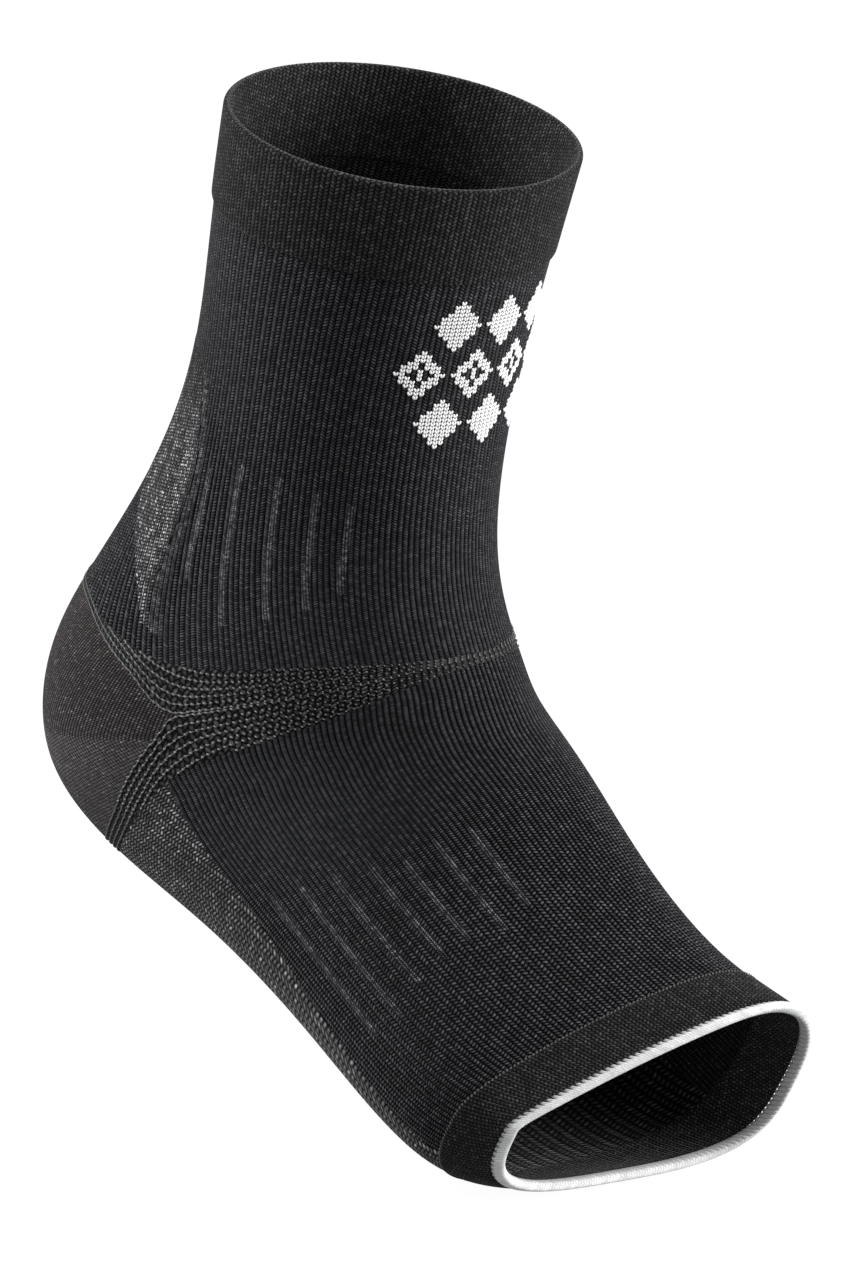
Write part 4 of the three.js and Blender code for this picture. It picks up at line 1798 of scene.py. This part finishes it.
    def heel_cup(self, shop: Workshop) -> Piece:
        """The heel cup: fine jersey whose courses are counted from the turn of the heel.

        Args:
            shop: the workshop.

        Returns:
            The piece.
        """
        shape = (self.jersey_rows, self.jersey_columns)
        angle = np.broadcast_to(np.linspace(-CORNER_ANGLE, CORNER_ANGLE, self.jersey_columns), shape)
        share = np.linspace(0, 1, self.jersey_rows)[:, None]
        inside = angle * (1 - NUDGE)
        station = mix(heel_top(inside), heel_bottom(inside), share)
        heel = np.full(shape, self.heel_station)
        arc = shop.plan.arc_at(heel, angle) / MM
        length = (shop.plan.length_at(station, angle) - shop.plan.length_at(heel, angle)) / MM
        lean = np.where(length < 0, self.upper_lean, self.lower_lean) * np.abs(length)
        wale = (np.sqrt(arc**2 + self.heel_round**2) - lean) / self.jersey_pitch
        net = Net(station, angle, wale, length / self.jersey_pitch)
        fold = -self.fold_depth * bell(length, self.fold_width) * smooth_step(*self.fold_turn, np.abs(angle))
        surface = wall_from_net(shop.form, net, net.all_faces(), fold, -shop.form.sizes.heel_wall)
        return Piece("heel_cup", Slot.HEEL, [surface], [HEEL.make()])

    def build(self, shop: Workshop) -> list[Piece]:
        """The gore and the heel cup."""
        return [self.ankle_band(shop), self.heel_cup(shop)]


@dataclass
class FootAssembly:
    """The ribbed foot and the panel under the sole, with sizes in millimetres."""

    rows: int = 48
    rib_depth: float = 0.4
    courses: float = 122.0
    inner_ribs: float = 135.0
    sole_pitch: float = 2.3
    sole_courses: float = 0.75
    sole_proud: float = 0.05
    edge_scale: float = 0.72
    scallop_reach: float = 3.0
    scallop_period: float = 9.0

    def build(self, shop: Workshop) -> list[Piece]:
        """The foot tube and the sole panel, cut from one net of wales.

        Args:
            shop: the workshop.

        Returns:
            The two pieces.
        """
        shares = np.round(np.linspace(0, 1, self.rows + 1), 6)
        edge = mix(SOLE_AT_GORE, SOLE_AT_TOES, shares)
        edges = [dict(zip(shares.tolist(), (side.value * edge).tolist())) for side in Side]

        def cuff_edge(angle: Array) -> Array:
            """Station of the cuff's edge, the same at every angle."""
            return np.full(np.shape(angle), shop.toe_cuff)

        net, (low, high) = shop.wale_net(shares, gore_bottom, cuff_edge, self.courses, edges)
        last, columns = self.rows, net.shape[1]
        none, end = np.zeros(len(shares), int), np.full(len(shares), columns - 1)
        foot_faces = np.vstack([between(none, low, 0, last, columns), between(high, end, 0, last, columns)])
        sole_faces = between(low, high, 0, last, columns)
        ribs, lines = SupportRibs(FOOT_RIBS, self.inner_ribs).masks(shop.plan, net)
        outer, inner = shop.ribbed_faces(net, ribs, lines, self.rib_depth)
        tube = wall_from_net(shop.form, net, foot_faces, outer, inner, {"pale": ribs - lines})
        arc = shop.plan.arc_at(net.station, net.angle) / MM
        sole_net = Net(net.station, net.angle, arc / self.sole_pitch, net.course * self.sole_courses)
        distance = (edge[:, None] - np.abs(wrapped(net.angle))) * self.edge_scale
        pale = scalloped_edge(distance, net.course, self.scallop_reach, self.scallop_period)
        wall = shop.form.sizes.knit_wall
        sole = wall_from_net(shop.form, sole_net, sole_faces, self.sole_proud, -wall, {"pale": pale})
        return [
            Piece("foot_tube", Slot.RIBBED, [tube], [RIBBED.make()]),
            Piece("sole_panel", Slot.SPECKLED, [sole], [SPECKLED.make()]),
        ]


@dataclass
class ToeAssembly:
    """The doubled toe cuff and its white overlock edging."""

    cuff_wales: int = 232
    seam_stitches: int = 236
    seam_turn: float = 30.0
    seam_stitch: StitchShape = StitchShape(0.8, 0.5, 0.4)
    loops: int = 140
    loop_samples: int = 12
    loop_slant: float = 0.35
    ring_points: int = 33
    tooth_power: float = 2.2
    notch_cut: float = 0.42
    notch_sink: float = 0.45
    hole_sink: float = 0.1
    hole_width: float = 0.17
    hole_place: float = 0.66
    hole_depth: float = 0.15
    notch_tone: float = 0.85
    hole_tone: float = 0.55

    def toe_cuff(self, shop: Workshop) -> Piece:
        """The doubled band behind the toes, with fine ribs and a seam.

        Args:
            shop: the workshop.

        Returns:
            The piece.
        """
        sizes = shop.form.sizes
        depth = sizes.toe_cuff_depth - sizes.edging_width
        welt = Welt(depth, sizes.toe_cuff_wall, sizes.toe_cuff_proud, 0.6, 8, 0.14)
        band = shop.cuff(welt, self.cuff_wales, shop.toe_cuff, shop.edging)
        place = (np.arange(self.seam_stitches) + 0.5) / self.seam_stitches * 2 - 1
        station = np.full(self.seam_stitches, shop.toe_cuff)
        angle = shop.plan.angle_at(station, place, even=True)
        seam = stitches(
            shop.form, station, angle, self.seam_turn, self.seam_stitch, 1.0, sizes.toe_cuff_proud,
        )
        return Piece("toe_cuff", Slot.CUFF, [band, seam], [CUFF.make(), PALE_THREAD.make()])

    def edging(self, shop: Workshop) -> Piece:
        """The overlock edging: a roll whose surface rises and falls with its slanted loops of thread.

        Cut across, the roll is an oval of a high power. Between two loops its knit side is notched, with
        a small hole behind the thread.

        Args:
            shop: the workshop.

        Returns:
            The piece.
        """
        sizes = shop.form.sizes
        turn = np.linspace(0, 2 * math.pi, self.ring_points)[:, None]
        around = np.linspace(-1, 1, self.loops * self.loop_samples + 1)[None, :]
        across, rise = np.cos(turn), np.sin(turn)
        slanted = (around + 1) / 2 * self.loops + self.loop_slant * across * np.sign(rise)
        phase = slanted % 1 - 0.5
        tooth = 1 - (2 * np.abs(phase)) ** self.tooth_power
        inner = smooth_step(-0.2, 0.4, -rise)
        notch = (1 - tooth) * smooth_step(0.0, 0.7, -across - mix(0.25, -1.15, inner))
        hole = bell(phase, self.hole_width) * bell(across + self.hole_place, self.hole_depth)
        groove = np.clip(self.notch_tone * notch * mix(1.0, 0.5, inner) + self.hole_tone * hole, 0, 1)
        share = 0.5 + np.sign(across) * np.abs(across) ** 0.7 / 2 * (1 - self.notch_cut * notch)
        sunk = self.notch_sink * notch * (1 - inner) + self.hole_sink * hole
        up = np.sign(rise) * np.abs(rise) ** 0.6 * sizes.edging_thickness / 2 * (1 - sunk)
        middle = sizes.toe_cuff_proud - sizes.toe_cuff_wall / 2
        station, height, run, everywhere = np.broadcast_arrays(
            mix(shop.edging, 1.0, share), up + middle, turn / math.pi * 4, around,
        )
        net = Net(station, shop.plan.angle_at(station, everywhere, even=True), slanted, run)
        # The inside mask is the roll's inner half, which its finish paints in shade.
        surface = shop.ring_surface(net, height, {"groove": groove, "inside": smooth_step(0.0, 0.6, -rise)})
        surface.faces = surface.faces[:, ::-1]
        return Piece("toe_edging", Slot.WHITE, [surface], [LACE_THREAD.make()])

    def build(self, shop: Workshop) -> list[Piece]:
        """The toe cuff and its edging."""
        return [self.toe_cuff(shop), self.edging(shop)]


@dataclass(frozen=True)
class SoftLight:
    """One soft square light: its name, its place and size in metres, and its power in watts."""

    name: str
    place: Colour
    size: float
    power: float

    def build(self) -> None:
        """Put the light in the scene, aimed at the ankle."""
        data = bpy.data.lights.new(self.name, "AREA")
        data.size = self.size
        data.energy = self.power
        obj = bpy.data.objects.new(self.name, data)
        aim = Vector((0.0, -0.02, 0.02)) - Vector(self.place)
        turn = aim.to_track_quat("-Z", "Y").to_matrix().to_4x4()
        obj.matrix_world = Matrix.Translation(self.place) @ turn
        bpy.context.scene.collection.objects.link(obj)


@dataclass(frozen=True)
class Studio:
    """A white sky, a pale floor, three soft lights and the camera at the photograph's viewing angle.

    The focal length and the target, which is the origin's place in the frame, are in pixels.
    """

    azimuth: float = -53.76
    elevation: float = 24.74
    roll: float = 9.76
    distance: float = 1.3
    focal_pixels: float = 5354.18
    target_x: float = 316.63
    target_y: float = 666.83
    frame_width: int = 849
    frame_height: int = 1264
    sensor: float = 36.0
    sky_strength: float = 0.42
    floor_reach: float = 8.0
    floor_tone: float = 0.06
    floor_glow: float = 0.97
    lights: tuple[SoftLight, ...] = (
        SoftLight("top_light", (-0.9, -0.2, 1.5), 0.9, 5.0),
        SoftLight("back_light", (-0.6, 1.0, 0.6), 0.7, 24.0),
        SoftLight("front_light", (0.7, -1.0, 0.6), 0.7, 30.0),
    )

    def camera(self) -> None:
        """The camera: aimed so that the middle of the frame lies on its axis, with no shift."""
        a, e, r = (math.radians(x) for x in (self.azimuth, self.elevation, self.roll))
        back = Vector((math.sin(a) * math.cos(e), -math.cos(a) * math.cos(e), math.sin(e)))
        right = Vector((math.cos(a), math.sin(a), 0.0))
        up = right.cross(-back)
        image_right = right * math.cos(r) + up * math.sin(r)
        image_up = up * math.cos(r) - right * math.sin(r)
        across = (self.frame_width / 2 - self.target_x) / self.focal_pixels
        rise = (self.target_y - self.frame_height / 2) / self.focal_pixels
        forward = (image_right * across + image_up * rise - back).normalized()
        image_right = (image_right - forward * image_right.dot(forward)).normalized()
        image_up = image_right.cross(forward)
        turn = Matrix((image_right, image_up, -forward)).transposed().to_4x4()
        data = bpy.data.cameras.new("camera")
        data.sensor_fit = "VERTICAL"
        data.sensor_height = self.sensor
        data.lens = self.focal_pixels / self.frame_height * self.sensor
        data.clip_start, data.clip_end = 0.05, 20.0
        obj = bpy.data.objects.new("camera", data)
        obj.matrix_world = Matrix.Translation(back * self.distance) @ turn
        bpy.context.scene.collection.objects.link(obj)
        bpy.context.scene.camera = obj

    def floor(self, ground: float) -> None:
        """A plain white floor that only the camera sees, so no light is thrown up from it.

        Args:
            ground: height of the floor in metres.
        """
        corners = np.array([(-1.0, -1.0), (1.0, -1.0), (1.0, 1.0), (-1.0, 1.0)]) * self.floor_reach
        points = np.column_stack([corners, np.full(4, ground)])
        mesh = bpy.data.meshes.new("studio_floor")
        mesh.from_pydata(points.tolist(), [], [(0, 1, 2, 3)])
        material = bpy.data.materials.new("white_studio_floor")
        material.use_nodes = True
        n = Nodes(material.node_tree)
        n.fill(material.node_tree.nodes["Principled BSDF"], {
            "Base Color": (self.floor_tone, self.floor_tone, self.floor_tone, 1),
            "Roughness": 0.95,
            "Specular IOR Level": 0.0,
            "Emission Color": (1.0, 1.0, 1.0, 1),
            "Emission Strength": self.floor_glow,
        })
        mesh.materials.append(material)
        obj = bpy.data.objects.new("studio_floor", mesh)
        for ray in ("diffuse", "glossy", "transmission", "volume_scatter", "shadow"):
            setattr(obj, f"visible_{ray}", False)
        bpy.context.scene.collection.objects.link(obj)
        obj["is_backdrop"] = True

    def sky(self) -> None:
        """An even sky: plain white to the camera, and soft and dimmer as a light."""
        world = bpy.data.worlds.new("studio")
        world.use_nodes = True
        n = Nodes(world.node_tree)
        shown = n.fill(world.node_tree.nodes["Background"], {"Color": (1.0, 1.0, 1.0, 1)})
        light = n.add("ShaderNodeBackground", {"Color": (0.96, 0.97, 1.0, 1), "Strength": self.sky_strength})
        seen = n.add("ShaderNodeLightPath").outputs["Is Camera Ray"]
        mixed = n.add("ShaderNodeMixShader", {0: seen, 1: light.outputs[0], 2: shown.outputs[0]})
        n.fill(world.node_tree.nodes["World Output"], {0: mixed.outputs[0]})
        bpy.context.scene.world = world
        bpy.context.scene.view_settings.view_transform = "Standard"

    def build(self, ground: float) -> None:
        """The whole studio.

        Args:
            ground: height of the floor in metres.
        """
        self.camera()
        self.floor(ground)
        self.sky()
        for light in self.lights:
            light.build()


def main() -> None:
    """Build the sleeve's sub-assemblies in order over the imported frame."""
    logging.basicConfig(level=logging.INFO, format="%(name)s: %(message)s")
    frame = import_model()
    cad_low, cad_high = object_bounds()
    stitch_loops_group()
    fibre_group()
    form = SleeveForm(SleeveSizes())
    shop = Workshop(form, KnitPlan(form))
    LOG.info("frame with %d nodes", len(frame["nodes"]))
    Studio().build(cad_low.z)
    for assembly in (LegAssembly(), HeelAssembly(), FootAssembly(), ToeAssembly()):
        for piece in assembly.build(shop):
            piece.place()


if __name__ == "__main__":
    main()
